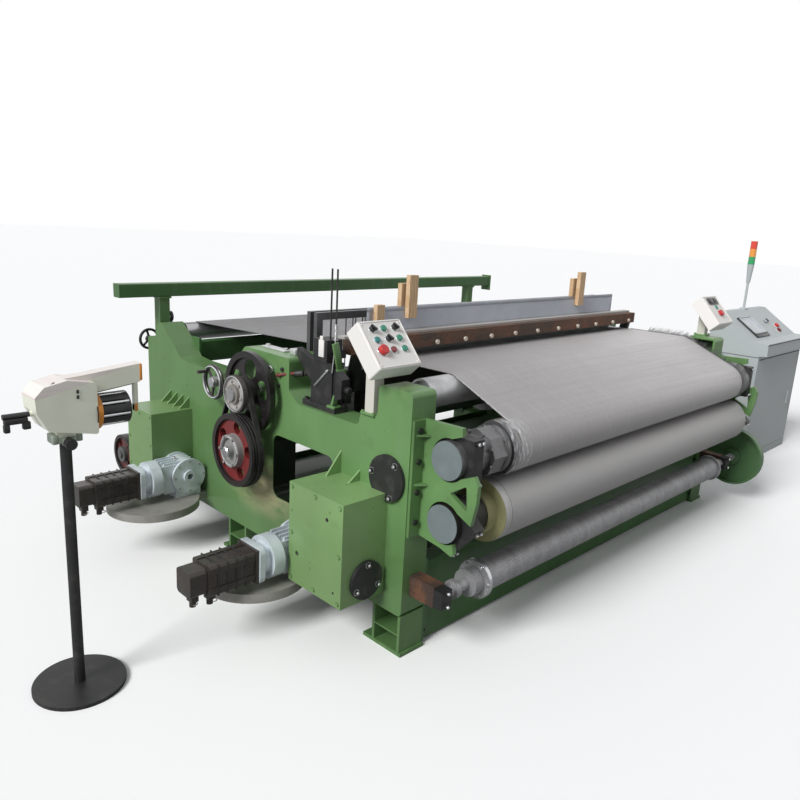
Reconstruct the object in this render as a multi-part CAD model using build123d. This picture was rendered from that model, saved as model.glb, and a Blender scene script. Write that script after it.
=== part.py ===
from build123d import *
import math
import os

os.makedirs("parts", exist_ok=True)

# Wire mesh weaving machine. Millimetres, +Z up, +X across the machine from the drive side,
# +Y from the cloth side to the warp side. Places are measured from the outer face of the left
# side frame, its front edge and the floor; the export moves the datum to the middle of the
# four corner anchor holes.

# Overall machine
WIDTH = 2865
DEPTH = 2120
FRAME_T = 130
WALL = 14
FRAME_Z0 = 175
FRAME_R = 22
TOWER_Z = 1100
TOWER_SEAT_Z = 1003
REAR_WAIST_Z = 925
HUMP_Z = 1097
HUMP_Y0 = 765
HUMP_Y1 = 1175
DIP_Z = 905
DIP_Y0 = 296
DIP_Y1 = 700
POST_SEAT_Z = 962
POST_SEAT_Y = 240
FRONT_TOP_Z = 1095
FRONT_BLOCK_Y = 182
WINDOW = (440, 880, 420, 725)
WINDOW_R = 45
FOOT_Y = (0, 1106, DEPTH - 170)
FOOT_L = 160
FOOT_PLATE = 16
FOOT_PLATE_MARGIN = 26
ANCHOR_X = 65
ANCHOR_Y = 186
ANCHOR_D = 18
FIT = 0.05
CLEAR = 0.3
HEX = 24
HEX_H = 10

# Cross members
FRONT_BEAM = (18, 100, 12, 365)
REAR_BEAM = (DEPTH - 90, DEPTH - 20, 195, 330)
MID_BEAM = (DEPTH - 320, DEPTH - 245, 890, 1002)
BEAM_WALL = 8
TRAY = (70, 420, 1800)
TRAY_T = 6
TRAY_LIP = 40
END_PLATE = 14
END_LIP = 26
TOP_BEAM = 75
TOP_BEAM_Y = DEPTH - 35
TOP_BEAM_Z = 1229
TOP_BEAM_OVER = (188, 135)
TOP_PLATE = 10
LEVER_Y = DEPTH - 36
LEVER_Z = 1088
LEVER_X = 112
LEVER_T = 16
LEVER_J = 8
LEVER_R = 24

# Rolls of the cloth side
BREAST_Y = -138
BREAST_Z = 862
BREAST_R = 109
BREAST_J = 75
MIDDLE_Y = -136
MIDDLE_Z = 611
MIDDLE_R = 130
MIDDLE_J = 75
LOWER_Y = -130
LOWER_Z = 305
LOWER_R = 66
LOWER_J = 25
LOWER_FLANGE_R = 80
ROLL_X0 = 350
ROLL_GAP = 40
GUIDE_Y = 150
GUIDE_Z = 1036
GUIDE_R = 64
GUIDE_J = 16
BRACKET_X = 65
BRACKET_T = 20
JOURNAL_OUT = 13
CAP_T = 25
CAP_REACH = 17
HOUSING_T = 55
OPEN_GAP = 9
BRACKET_TOP = 990
BLOCK_X = 40
BLOCK_W = 60
BLOCK_H = 86
BLOCK_FRONT = 35
DISC_R = 188
DISC_X = 110
DISC_T = 62

# Web and warp
WEB_X0 = 372
WEB_X1 = WIDTH - 265
WEB_T = 3
FELL_Y = 518
FELL_Z = 1098
WARP_T = 3
WARP_FRONT = 930

# Shafts on the drive side
MAIN_Y = 1000
MAIN_Z = 906
MAIN_R = 30
FLY_R = 190
FLY_T = 28
FLY_RIM = 30
FLY_GAP = 38
PULLEY_R = 70
PULLEY_W = 28
PULLEY_X = -86
CLUTCH_R = 87
CLUTCH_T = 22
CLUTCH_GAP = 29
RED_Y = 1004
RED_Z = 636
RED_R = 172
RED_J = 25
RED_X = -85
RED_W = 60
BELT_T = 8
HAND_Y = 1310
HAND_Z = 893
HAND_R = 88
HAND_X = -40
HAND_J = 12
TENSION_X = 30
TENSION_Z = 975
TENSION_R = 62
TENSION_J = 12

# Sley, reed, heald frames and the warp side
SLEY_Y = 640
SLEY_Z = 300
SLEY_J = 25
SLEY_BEAM_H = 100
SLEY_BEAM_W = 88
SLEY_TOP = 1050
SLEY_X0 = 205
SWORD_X = 300
SWORD_T = 34
SWORD_W = 74
REED_X0 = 340
REED_T = 12
REED_TOP = 1318
REED_RAIL = 20
REED_GAPS = 60
REED_WIRE = 14
CLAMP_X = (575, WIDTH - 797)
CLAMP_W = 56
CLAMP_T = 26
CLAMP_LEFT_X = 372
HEALD_Y = (812, 862)
HEALD_T = 24
HEALD_H = 380
HEALD_Z0 = 905
HEALD_RAIL = 34
HEALD_X0 = 178
HEALD_WIRES = 36
HEALD_WIRE = 4
GUIDE_POST_Z = 1100
CAP_BAR = (548, 600, 1132, 1196)
CAP_BAR_X0 = 165
CAP_BAR_BOLTS = 12
CAP_BOLT_X0 = 299
CAP_BOLT_PITCH = 211
CAP_PLATE = 11
CAP_ARM_X = 215
CAP_ARM_T = 30
LET_Y = DEPTH - 64
LET_Z = 346
LET_R = 112
LET_X = -158
LET_W = 46
LET_J = 20
BEAM_Y = DEPTH - 355
BEAM_Z = 500
BEAM_J = 35
BEAM_BARREL = 90
BEAM_WOUND = 185
BEAM_FLANGE = 245
BEAM_FLANGE_T = 16
BACK_Y = DEPTH - 160
BACK_Z = 1040
BACK_R = 50
BACK_J = 20
WARP_EDGE = 215

# Drive boxes, gearboxes and motors
TAKEUP_BOX = (-228, 0, 105, 438, 245, 675)
LETOFF_BOX = (-232, 0, DEPTH - 492, DEPTH - 218, 340, 678)
BOX_WALL = 6
COVER_T = 6
CAP_R = 95
CAP_Y = 109
CAP_Z = 735
WORM_CAP_R = 80
WORM_X = -105
CAP_DISC = 16
GEAR_R = 92
GEAR_L = 150
TAKEUP_GEAR_Z = 338
LETOFF_GEAR_Z = 363
INPUT_X = -368
MOTOR = 130
MOTOR_L = 205
ENCODER = 104
ENCODER_L = 75
MOTOR_PLATE = 12
SHELF_T = 8
SHELF_LIP = 40
SHELF_R = 230
SHELF_X = -265
SHELF_DROP = 112
SHELF_TONGUE = 120
TAKEUP_SHELF_Y = (632, 640)
LETOFF_SHELF_Y = (DEPTH - 558, DEPTH - 480)

# Pendants, console and feeder
PENDANT_W = 225
PENDANT_L = 213
PENDANT_T = 75
PENDANT_TILT = 48.6
PENDANT_X = 25
PENDANT_Y = 160
PENDANT_Z = 1256
PENDANT_BACK = 75
RIGHT_SHIFT_Y = -100
RIGHT_SHIFT_Z = 12
POST = 50
BUTTON_R = 13
BUTTON_H = 10
BUTTON_STEM = 8
MUSHROOM_R = 20
MUSHROOM_H = 16
BUTTON_TRAVEL = 4
CABINET = (WIDTH + 985, WIDTH + 1945, 92, 480, 0, 857)
CONSOLE_FRONT_Z = 963
CONSOLE_REAR_Z = 1160
CONSOLE_FLAT = 50
CONSOLE_OVER = 8
CONSOLE_NOSE = 60
LEDGE_Y = 159
LEDGE_Z = 967
DOOR_T = 18
DOOR_GAP = 3
DOOR_BORDER = 24
HINGE_R = 7
HINGE_PIN = 5
SCREEN_W = 230
SCREEN_L = 175
SCREEN_T = 12
SCREEN_X = 300
TOWER_X = WIDTH + 1520
TOWER_Y = 450
TOWER_POLE_R = 10
TOWER_POLE_TOP = 1375
TOWER_LENS_R = 26
TOWER_LENS_Z = 1523
TOWER_LENS_H = 62
FEEDER_Y = 640
FEEDER_Z = 1023
FEEDER_R = 65
FEEDER_X0 = -1117
FEEDER_X1 = -920
FEEDER_DISC_T = 17
FEEDER_DRUM_R = 57
FEEDER_DRUM_L = 102
FEEDER_STAND_X = -1011
STAND_R = 19
STAND_BASE_R = 160
STAND_BASE_T = 14


def block(x0, x1, y0, y1, z0, z1):
    return Pos((x0 + x1) / 2, (y0 + y1) / 2, (z0 + z1) / 2) * Box(x1 - x0, y1 - y0, z1 - z0)


def rod_x(r, x0, x1, y, z):
    return Pos((x0 + x1) / 2, y, z) * Rot(0, 90, 0) * Cylinder(r, x1 - x0)


def rod_y(r, y0, y1, x, z):
    return Pos(x, (y0 + y1) / 2, z) * Rot(90, 0, 0) * Cylinder(r, y1 - y0)


def rod_z(r, z0, z1, x, y):
    return Pos(x, y, (z0 + z1) / 2) * Cylinder(r, z1 - z0)


def slab_x(outline, x0, x1, radius=0):
    face = make_face(Polyline(*outline, close=True))
    if radius:
        face = fillet(face.vertices(), radius)
    return extrude(Plane.YZ.offset(x0) * face, x1 - x0)


def slab_y(outline, y0, y1, radius=0):
    face = make_face(Polyline(*outline, close=True))
    if radius:
        face = fillet(face.vertices(), radius)
    return extrude(Plane.XZ.offset(-y0) * face, y0 - y1)


def slab_z(outline, z0, z1):
    return extrude(Plane.XY.offset(z0) * make_face(Polyline(*outline, close=True)), z1 - z0)


def hex_x(x0, x1, y, z, size=HEX):
    return extrude(Plane.YZ.offset(x0) * Pos(y, z) * RegularPolygon(size / 2, 6), x1 - x0)


def hex_y(y0, y1, x, z, size=HEX):
    return extrude(Plane.XZ.offset(-y0) * Pos(x, z) * RegularPolygon(size / 2, 6), y0 - y1)


def ring_points(count, radius, start=0.0):
    turn = 2 * math.pi / count
    return [(radius * math.cos(start + i * turn), radius * math.sin(start + i * turn)) for i in range(count)]


def mirrored(shape):
    return mirror(shape, Plane.YZ.offset(WIDTH / 2))


def group(shapes):
    return Compound(children=[s for s in shapes])


# Side frames: an outer plate with a deep flange round its edge, open towards the inside
def frame_outline():
    return [
        (0, FRAME_Z0),
        (DEPTH, FRAME_Z0),
        (DEPTH, TOWER_SEAT_Z),
        (DEPTH - 94, TOWER_SEAT_Z),
        (DEPTH - 122, TOWER_Z - 12),
        (DEPTH - 165, TOWER_Z),
        (DEPTH - 307, TOWER_Z - 105),
        (DEPTH - 371, REAR_WAIST_Z + 8),
        (DEPTH - 460, REAR_WAIST_Z),
        (HUMP_Y1 + 40, REAR_WAIST_Z),
        (HUMP_Y1, HUMP_Z - 60),
        (HUMP_Y1 - 58, HUMP_Z),
        (HUMP_Y0, HUMP_Z),
        (HUMP_Y0, DIP_Z + 50),
        (DIP_Y1, DIP_Z),
        (DIP_Y0, DIP_Z),
        (POST_SEAT_Y + 42, POST_SEAT_Z),
        (FRONT_BLOCK_Y + 4, POST_SEAT_Z),
        (FRONT_BLOCK_Y, FRONT_TOP_Z),
        (0, FRONT_TOP_Z),
    ]


def rounded(outline, radius):
    face = make_face(Polyline(*outline, close=True))
    return fillet(face.vertices(), radius)


def foot(y0):
    leg = block(0, FRAME_T, y0, y0 + FOOT_L, FOOT_PLATE, FRAME_Z0)
    leg -= block(-1, FRAME_T - WALL, y0 + WALL, y0 + FOOT_L - WALL, FOOT_PLATE, FRAME_Z0)
    shelf_z = FRAME_Z0 / 2
    leg += block(0, FRAME_T - WALL, y0 + WALL, y0 + FOOT_L - WALL, shelf_z, shelf_z + WALL / 2)
    plate = block(0, FRAME_T + 4, y0 - 10, y0 + FOOT_L + 2 * FOOT_PLATE_MARGIN, 0, FOOT_PLATE)
    hole = rod_z(ANCHOR_D / 2, -1, FOOT_PLATE + 1, ANCHOR_X, y0 + ANCHOR_Y)
    return leg + plate - hole


def boss(y, z, radius, bore, blind):
    body = rod_x(radius, 0, FRAME_T, y, z)
    start = WALL / 2 if blind else -1
    return body, rod_x(bore + FIT, start, FRAME_T + 1, y, z)


def heald_guide():
    y0 = HEALD_Y[0] - HEALD_T
    y1 = HEALD_Y[1] + HEALD_T
    post = block(FRAME_T - WALL, HEALD_X0 + 22, y0, y1, HEALD_Z0 - 70, GUIDE_POST_Z)
    for y in HEALD_Y:
        half = HEALD_T / 2 + CLEAR
        post -= block(HEALD_X0 - CLEAR, HEALD_X0 + 23, y - half, y + half, HEALD_Z0 - 71, GUIDE_POST_Z + 1)
    return post


def side_frame(left):
    outline = frame_outline()
    face = rounded(outline, FRAME_R)
    inner = offset(make_face(Polyline(*outline, close=True)), -WALL, kind=Kind.INTERSECTION)
    body = extrude(Plane.YZ * face, FRAME_T)
    body -= extrude(Plane.YZ.offset(WALL) * inner, FRAME_T)
    wy0, wy1, wz0, wz1 = WINDOW
    window = [(wy0, wz0), (wy1, wz0), (wy1, wz1), (wy0, wz1)]
    rim = [(wy0 - WALL, wz0 - WALL), (wy1 + WALL, wz0 - WALL), (wy1 + WALL, wz1 + WALL), (wy0 - WALL, wz1 + WALL)]
    body += slab_x(rim, 0, FRAME_T, WINDOW_R + WALL)
    body -= slab_x(window, -1, FRAME_T + 1, WINDOW_R)
    bosses = [boss(MAIN_Y, MAIN_Z, 2 * MAIN_R, MAIN_R, not left)]
    bosses.append(boss(SLEY_Y, SLEY_Z, SLEY_J + 22, SLEY_J, True))
    bosses.append(boss(BEAM_Y, BEAM_Z, BEAM_J + 25, BEAM_J, True))
    bosses.append(boss(BACK_Y, BACK_Z, BACK_J + 20, BACK_J, True))
    bosses.append(boss(GUIDE_Y, GUIDE_Z, GUIDE_J + 14, GUIDE_J, True))
    if left:
        bosses.append(boss(RED_Y, RED_Z, RED_J + 25, RED_J, False))
        bosses.append(boss(HAND_Y, HAND_Z, HAND_J + 12, HAND_J, False))
        bosses.append(boss(LET_Y, LET_Z, LET_J + 20, LET_J, False))
    for solid, bore in bosses:
        body += solid
    body += heald_guide()
    for y in FOOT_Y:
        body += foot(y)
    for solid, bore in bosses:
        body -= bore
    if left:
        body -= rod_y(TENSION_J + FIT, DEPTH - WALL, DEPTH + 1, TENSION_X, TENSION_Z)
    return body if left else mirrored(body)


# Cross members with end plates bolted against the edges of the side frames
def cross_beam(dims):
    y0, y1, z0, z1 = dims
    x0 = FRAME_T + END_PLATE
    beam = block(x0, WIDTH - x0, y0, y1, z0, z1)
    beam -= block(x0, WIDTH - x0, y0 + BEAM_WALL, y1 - BEAM_WALL, z0 + BEAM_WALL, z1 - BEAM_WALL)
    low = max(z0 - END_LIP, FOOT_PLATE)
    plate = block(FRAME_T, x0, max(y0 - END_LIP, 0), y1 + END_LIP, low, z1 + END_LIP)
    return beam + plate + mirrored(plate)


def oil_tray():
    # shallow sheet tray on the bottom flanges of the two side frames
    x0, y0, y1 = TRAY
    z0 = FRAME_Z0 + WALL
    tray = block(x0, WIDTH - x0, y0, y1, z0, z0 + TRAY_T)
    for y in (y0, y1 - TRAY_T):
        tray += block(x0, WIDTH - x0, y, y + TRAY_T, z0, z0 + TRAY_LIP)
    return tray


def top_beam():
    half = TOP_BEAM / 2
    x0 = -TOP_BEAM_OVER[0]
    x1 = WIDTH + TOP_BEAM_OVER[1]
    beam = block(x0, x1, TOP_BEAM_Y - half, TOP_BEAM_Y + half, TOP_BEAM_Z, TOP_BEAM_Z + TOP_BEAM)
    beam = fillet(beam.edges().filter_by(Axis.X), 6)
    wall = half - 5
    beam -= block(x0 + 5, x1 - 5, TOP_BEAM_Y - wall, TOP_BEAM_Y + wall, TOP_BEAM_Z + 5, TOP_BEAM_Z + TOP_BEAM - 5)
    beam += block(x1, x1 + 12, TOP_BEAM_Y - half - 6, TOP_BEAM_Y + half + 6, TOP_BEAM_Z - 38, TOP_BEAM_Z + TOP_BEAM + 10)
    return beam


def top_bracket(x0, lever):
    top = TOP_BEAM_Z
    y0 = DEPTH - 68
    y1 = DEPTH - 4
    x1 = x0 + 60
    column = block(x0, x1, y0, y1, TOWER_SEAT_Z, top - TOP_PLATE)
    column -= block(x0 + 10, x1 - 10, y0 + 10, y1 + 1, TOWER_SEAT_Z + 16, top - TOP_PLATE - 16)
    bracket = column + block(x0 - 8, x1 + 8, y0 - 8, y1, top - TOP_PLATE, top)
    if lever:
        bracket += block(x1 - 20, x1, LEVER_Y - 24, LEVER_Y + 24, LEVER_Z - 24, LEVER_Z + 24)
        bracket -= lever_bore()
    return bracket


def lever_bore():
    return rod_x(LEVER_J + FIT, 70, 105, LEVER_Y, LEVER_Z)


def beam_lever():
    x1 = LEVER_X + LEVER_T
    lever = rod_x(LEVER_J, 72, x1, LEVER_Y, LEVER_Z)
    lever += rod_x(16, LEVER_X, x1, LEVER_Y, LEVER_Z)
    arm = Pos(0, LEVER_R) * (Circle(LEVER_R + 6) - Circle(LEVER_R - 6))
    arm -= Pos(LEVER_R + 2, LEVER_R) * Rectangle(2 * LEVER_R, 4 * LEVER_R)
    grip = Pos(3, 2 * LEVER_R) * Rectangle(12, 12)
    return lever + Pos(0, LEVER_Y, LEVER_Z) * extrude(Plane.YZ.offset(LEVER_X) * (arm + grip), LEVER_T)


# Roll brackets: a plate with two open saddles, a bolted flange and small gussets
def bearing_housing(centre_y, centre_z, radius, angle):
    # round housing behind the bracket plate, with a square bolted cap at its mouth
    x0 = BRACKET_X + BRACKET_T
    x1 = x0 + HOUSING_T
    reach = radius + CAP_REACH
    front = -(radius + FIT + CAP_T)
    body = rod_x(radius + CAP_T - 1, x0, x1, 0, 0) + block(x0, x1, front, -20, -reach, reach)
    body -= rod_x(radius + FIT, x0 - 1, x1 + 1, 0, 0)
    for x in (x0 + 16, x1 - 16):
        for s in (-1, 1):
            body += hex_y(front - HEX_H, front, x, s * (reach - 12), 18)
    return Pos(0, centre_y, centre_z) * Rot(angle, 0, 0) * body


BREAST_MOUTH = 0
MIDDLE_MOUTH = 42


# Roll brackets: a plate with two open mouths, a bolted flange and small gussets
def roll_bracket():
    outline = [
        (0, BRACKET_TOP),
        (BREAST_Y - 55, BRACKET_TOP + 6),
        (BREAST_Y - 58, BREAST_Z + 103),
        (BREAST_Y + 62, BREAST_Z + 56),
        (BREAST_Y, BREAST_Z),
        (BREAST_Y - 3, BREAST_Z - 83),
        (BREAST_Y - 124, BREAST_Z - 30),
        (BREAST_Y - 145, BREAST_Z - 62),
        (MIDDLE_Y - 145, MIDDLE_Z + 122),
        (MIDDLE_Y - 126, MIDDLE_Z + 30),
        (MIDDLE_Y - 29, MIDDLE_Z + 72),
        (MIDDLE_Y, MIDDLE_Z),
        (MIDDLE_Y - 47, MIDDLE_Z - 71),
        (MIDDLE_Y - 56, MIDDLE_Z - 108),
        (MIDDLE_Y - 46, MIDDLE_Z - 121),
        (MIDDLE_Y + 16, MIDDLE_Z - 104),
        (0, MIDDLE_Z - 90),
    ]
    plate = slab_x(outline, BRACKET_X, BRACKET_X + BRACKET_T)
    for y, z, r in ((BREAST_Y, BREAST_Z, BREAST_J), (MIDDLE_Y, MIDDLE_Z, MIDDLE_J)):
        plate -= rod_x(r + OPEN_GAP, BRACKET_X - 1, BRACKET_X + BRACKET_T + 1, y, z)
    web_z = (BREAST_Z - BREAST_J + MIDDLE_Z + MIDDLE_J) / 2
    window = [(MIDDLE_Y - 17, web_z), (MIDDLE_Y - 95, web_z + 50), (MIDDLE_Y - 105, web_z - 46)]
    plate -= slab_x(window, BRACKET_X - 1, BRACKET_X + BRACKET_T + 1, 5)
    bracket = plate + block(6, BRACKET_X, -12, 0, MIDDLE_Z - 90, BRACKET_TOP)
    for z in (BREAST_Z + 66, web_z - 4):
        bracket += slab_z([(BRACKET_X, -12), (18, -12), (BRACKET_X, -46)], z, z + 8)
    for i in range(4):
        z = MIDDLE_Z - 30 + i * (BRACKET_TOP - MIDDLE_Z - 10) / 3
        bracket += hex_y(-12 - HEX_H, -12, 36, z)
    return bracket


def lower_bore(blind):
    return rod_x(LOWER_J + FIT, BLOCK_X + 6 if blind else BLOCK_X - 1, BLOCK_X + BLOCK_W + 1, LOWER_Y, LOWER_Z)


def lower_bearing(blind):
    body = block(BLOCK_X, BLOCK_X + BLOCK_W, LOWER_Y, 0, LOWER_Z - BLOCK_H / 2, LOWER_Z + BLOCK_H / 2)
    return body - lower_bore(blind)


def lower_cap(blind):
    y1 = LOWER_Y
    half = BLOCK_H / 2 - 6
    body = block(BLOCK_X, BLOCK_X + BLOCK_W, y1 - BLOCK_FRONT - 8, y1, LOWER_Z - half, LOWER_Z + half)
    body -= lower_bore(blind)
    face = y1 - BLOCK_FRONT - 8
    for z in (LOWER_Z - half + 9, LOWER_Z + half - 9):
        body += hex_y(face - HEX_H, face, BLOCK_X + BLOCK_W / 2, z, 18)
    return body


def bearing_caps():
    breast = bearing_housing(BREAST_Y, BREAST_Z, BREAST_J, BREAST_MOUTH)
    middle = bearing_housing(MIDDLE_Y, MIDDLE_Z, MIDDLE_J, MIDDLE_MOUTH)
    caps = [breast, middle]
    return caps + [lower_cap(True)] + [mirrored(c) for c in caps + [lower_cap(False)]]


# Rolls
def roll_end():
    return WIDTH - BRACKET_X - BRACKET_T - HOUSING_T - 8


def breast_roll():
    x0 = BRACKET_X - JOURNAL_OUT
    roll = rod_x(BREAST_J, x0, WIDTH - x0, BREAST_Y, BREAST_Z)
    roll += rod_x(BREAST_R, ROLL_X0, roll_end(), BREAST_Y, BREAST_Z)
    clamp = extrude(Plane.YZ.offset(ROLL_X0 - 135) * Pos(BREAST_Y, BREAST_Z) * RegularPolygon(98, 8), 78)
    collar = rod_x(BREAST_J + 22, ROLL_X0 - 57, ROLL_X0 - 31, BREAST_Y, BREAST_Z)
    roll += clamp + collar
    for y, z in ring_points(8, 88, 0.39):
        roll += hex_x(ROLL_X0 - 135 - HEX_H, ROLL_X0 - 135, BREAST_Y + y, BREAST_Z + z, 14)
    return roll


def middle_roll():
    x0 = BRACKET_X - JOURNAL_OUT
    end = roll_end()
    roll = rod_x(MIDDLE_J, x0, WIDTH - x0, MIDDLE_Y, MIDDLE_Z)
    body = rod_x(MIDDLE_R, ROLL_X0 - 30, end, MIDDLE_Y, MIDDLE_Z)
    body -= rod_x(MIDDLE_R - 12, end - 18, end + 1, MIDDLE_Y, MIDDLE_Z)
    return roll + body


def lower_roll():
    end = WIDTH - ROLL_X0 + 75
    roll = rod_x(LOWER_J, BLOCK_X + 8, WIDTH + DISC_X + DISC_T, LOWER_Y, LOWER_Z)
    roll += rod_x(LOWER_R, ROLL_X0 - 50, end, LOWER_Y, LOWER_Z)
    roll += rod_x(LOWER_FLANGE_R, ROLL_X0 - 64, ROLL_X0 - 50, LOWER_Y, LOWER_Z)
    roll += rod_x(LOWER_R - 8, ROLL_X0 - 120, ROLL_X0 - 64, LOWER_Y, LOWER_Z)
    roll += rod_x(LOWER_R + 12, end, end + 14, LOWER_Y, LOWER_Z)
    return roll + rod_x(LOWER_J + 14, ROLL_X0 - 205, ROLL_X0 - 185, LOWER_Y, LOWER_Z)


def brake_disc():
    x0 = WIDTH + DISC_X
    x1 = x0 + DISC_T
    disc = rod_x(DISC_R, x0, x1, LOWER_Y, LOWER_Z)
    disc = fillet(disc.edges().sort_by(Axis.X)[-1], 18)
    disc -= rod_x(DISC_R - 14, x0 - 1, x0 + 30, LOWER_Y, LOWER_Z)
    disc += rod_x(LOWER_J + 25, x0 - 12, x0 + 31, LOWER_Y, LOWER_Z)
    disc -= rod_x(LOWER_J, x0 - 13, x1 + 1, LOWER_Y, LOWER_Z)
    return disc


def plain_roll(radius, journal, y, z, start):
    roll = rod_x(radius, start, WIDTH - start, y, z)
    return roll + rod_x(journal, WALL, WIDTH - WALL, y, z)


def support_tube():
    tube = plain_roll(GUIDE_R, GUIDE_J, GUIDE_Y, GUIDE_Z, FRAME_T + 70)
    return tube - (rod_x(GUIDE_R - 9, 0, FRAME_T + 100, GUIDE_Y, GUIDE_Z) - rod_x(GUIDE_J + 6, -1, FRAME_T + 101, GUIDE_Y, GUIDE_Z))


# Web: over the support tube and the breast roll, through the nip and down behind the middle roll
def web_profile(inner):
    # one face of the web, at a distance from the surface of the tube and the breast roll
    rt = GUIDE_R + inner
    r1 = BREAST_R + inner
    r2 = MIDDLE_R + CLEAR + WEB_T - (inner - CLEAR)
    dy = FELL_Y - GUIDE_Y
    dz = FELL_Z + inner - GUIDE_Z
    start = math.pi / 2 + math.atan2(dz, dy) - math.asin(rt / math.hypot(dy, dz))
    ty = GUIDE_Y - BREAST_Y
    tz = GUIDE_Z - BREAST_Z
    turn = math.atan2(tz, ty) + math.acos((r1 - rt) / math.hypot(ty, tz))
    ny = MIDDLE_Y - BREAST_Y
    nz = MIDDLE_Z - BREAST_Z
    nip = math.atan2(nz, ny) - math.acos((BREAST_R + MIDDLE_R + 2 * CLEAR + WEB_T) / math.hypot(ny, nz))
    first = (GUIDE_Y + rt * math.cos(start), GUIDE_Z + rt * math.sin(start))
    off = (GUIDE_Y + rt * math.cos(turn), GUIDE_Z + rt * math.sin(turn))
    on = (BREAST_Y + r1 * math.cos(turn), BREAST_Z + r1 * math.sin(turn))
    leave = (BREAST_Y + r1 * math.cos(nip), BREAST_Z + r1 * math.sin(nip))
    meet = (MIDDLE_Y - r2 * math.cos(nip), MIDDLE_Z - r2 * math.sin(nip))
    sweep_0 = math.degrees(turn - start)
    sweep_1 = 360 + math.degrees(nip - turn)
    sweep_2 = -(180 + math.degrees(nip))
    arc_0 = CenterArc((GUIDE_Y, GUIDE_Z), rt, math.degrees(start), sweep_0)
    arc_1 = CenterArc((BREAST_Y, BREAST_Z), r1, math.degrees(turn), sweep_1)
    arc_2 = CenterArc((MIDDLE_Y, MIDDLE_Z), r2, 180 + math.degrees(nip), sweep_2)
    return [Line((FELL_Y, FELL_Z + inner), first), arc_0, Line(off, on), arc_1, Line(leave, meet), arc_2]


def web():
    inner = web_profile(CLEAR)
    outer = web_profile(CLEAR + WEB_T)
    caps = [Line(inner[0] @ 0, outer[0] @ 0), Line(inner[-1] @ 1, outer[-1] @ 1)]
    face = make_face(Wire(inner + outer + caps))
    return extrude(Plane.YZ.offset(WEB_X0) * face, WEB_X1 - WEB_X0)


def warp_sheet():
    # narrows from the back roll to the width of the web
    top = BACK_Z + BACK_R + CLEAR
    outline = [
        (WEB_X0, WARP_FRONT),
        (WIDTH - WEB_X0, WARP_FRONT),
        (WIDTH - WARP_EDGE, BACK_Y),
        (WARP_EDGE, BACK_Y),
    ]
    return slab_z(outline, top, top + WARP_T)


# Drive wheels on the left frame
def flywheel():
    x1 = -FLY_GAP
    x0 = x1 - FLY_T
    wheel = rod_x(FLY_R, x0, x1, MAIN_Y, MAIN_Z)
    wheel -= rod_x(FLY_R - FLY_RIM, x0 - 1, x0 + 12, MAIN_Y, MAIN_Z)
    wheel -= rod_x(FLY_R - FLY_RIM, x1 - 12, x1 + 1, MAIN_Y, MAIN_Z)
    hole_r = (FLY_R - FLY_RIM - MAIN_R - 30) / 2 - 4
    for y, z in ring_points(5, MAIN_R + 32 + hole_r, 0.4):
        wheel -= rod_x(hole_r, x0, x1, MAIN_Y + y, MAIN_Z + z)
    wheel += rod_x(MAIN_R + 26, x0 - 8, x1 + 8, MAIN_Y, MAIN_Z)
    return wheel - rod_x(MAIN_R, x0 - 20, x1 + 20, MAIN_Y, MAIN_Z)


def shaft_pulley():
    x1 = PULLEY_X
    x0 = x1 - PULLEY_W
    wheel = rod_x(PULLEY_R, x0, x1, MAIN_Y, MAIN_Z)
    face = x1 - CLUTCH_GAP
    clutch = rod_x(CLUTCH_R, face - CLUTCH_T, face, MAIN_Y, MAIN_Z)
    clutch -= rod_x(CLUTCH_R - 14, face - CLUTCH_T - 1, face - CLUTCH_T + 6, MAIN_Y, MAIN_Z)
    clutch += rod_x(MAIN_R + 14, face - CLUTCH_T - 8, face - CLUTCH_T + 7, MAIN_Y, MAIN_Z)
    for y, z in ring_points(6, CLUTCH_R - 28, 0.2):
        clutch += hex_x(face - CLUTCH_T - 2, face - CLUTCH_T + 7, MAIN_Y + y, MAIN_Z + z, 14)
    joined = rod_x(MAIN_R + 20, face - 1, x0 + 1, MAIN_Y, MAIN_Z)
    return wheel + clutch + joined - rod_x(MAIN_R, x0 - 60, x1 + 20, MAIN_Y, MAIN_Z)


def main_shaft():
    return rod_x(MAIN_R, PULLEY_X - CLUTCH_GAP - CLUTCH_T - 20, WIDTH - WALL, MAIN_Y, MAIN_Z)


def red_pulley():
    x1 = RED_X
    x0 = x1 - RED_W
    wheel = rod_x(RED_R, x0, x1, RED_Y, RED_Z)
    wheel -= rod_x(RED_R - 24, x0 - 1, x0 + 16, RED_Y, RED_Z)
    wheel -= rod_x(RED_R - 24, x1 - 16, x1 + 1, RED_Y, RED_Z)
    for y, z in ring_points(5, (RED_R - 24 + RED_J + 52) / 2, 0.5):
        wheel -= rod_x(28, x0, x1, RED_Y + y, RED_Z + z)
    hub = rod_x(RED_J + 52, x0 - 14, x1 + 6, RED_Y, RED_Z)
    hub -= rod_x(RED_J + 36, x0 - 15, x0 - 2, RED_Y, RED_Z)
    wheel += hub
    wheel += rod_x(RED_J, x0 - 26, FRAME_T - WALL, RED_Y, RED_Z)
    for y, z in ring_points(6, RED_J + 44):
        wheel += hex_x(x0 - 14 - HEX_H, x0 - 14, RED_Y + y, RED_Z + z, 14)
    return wheel


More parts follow.
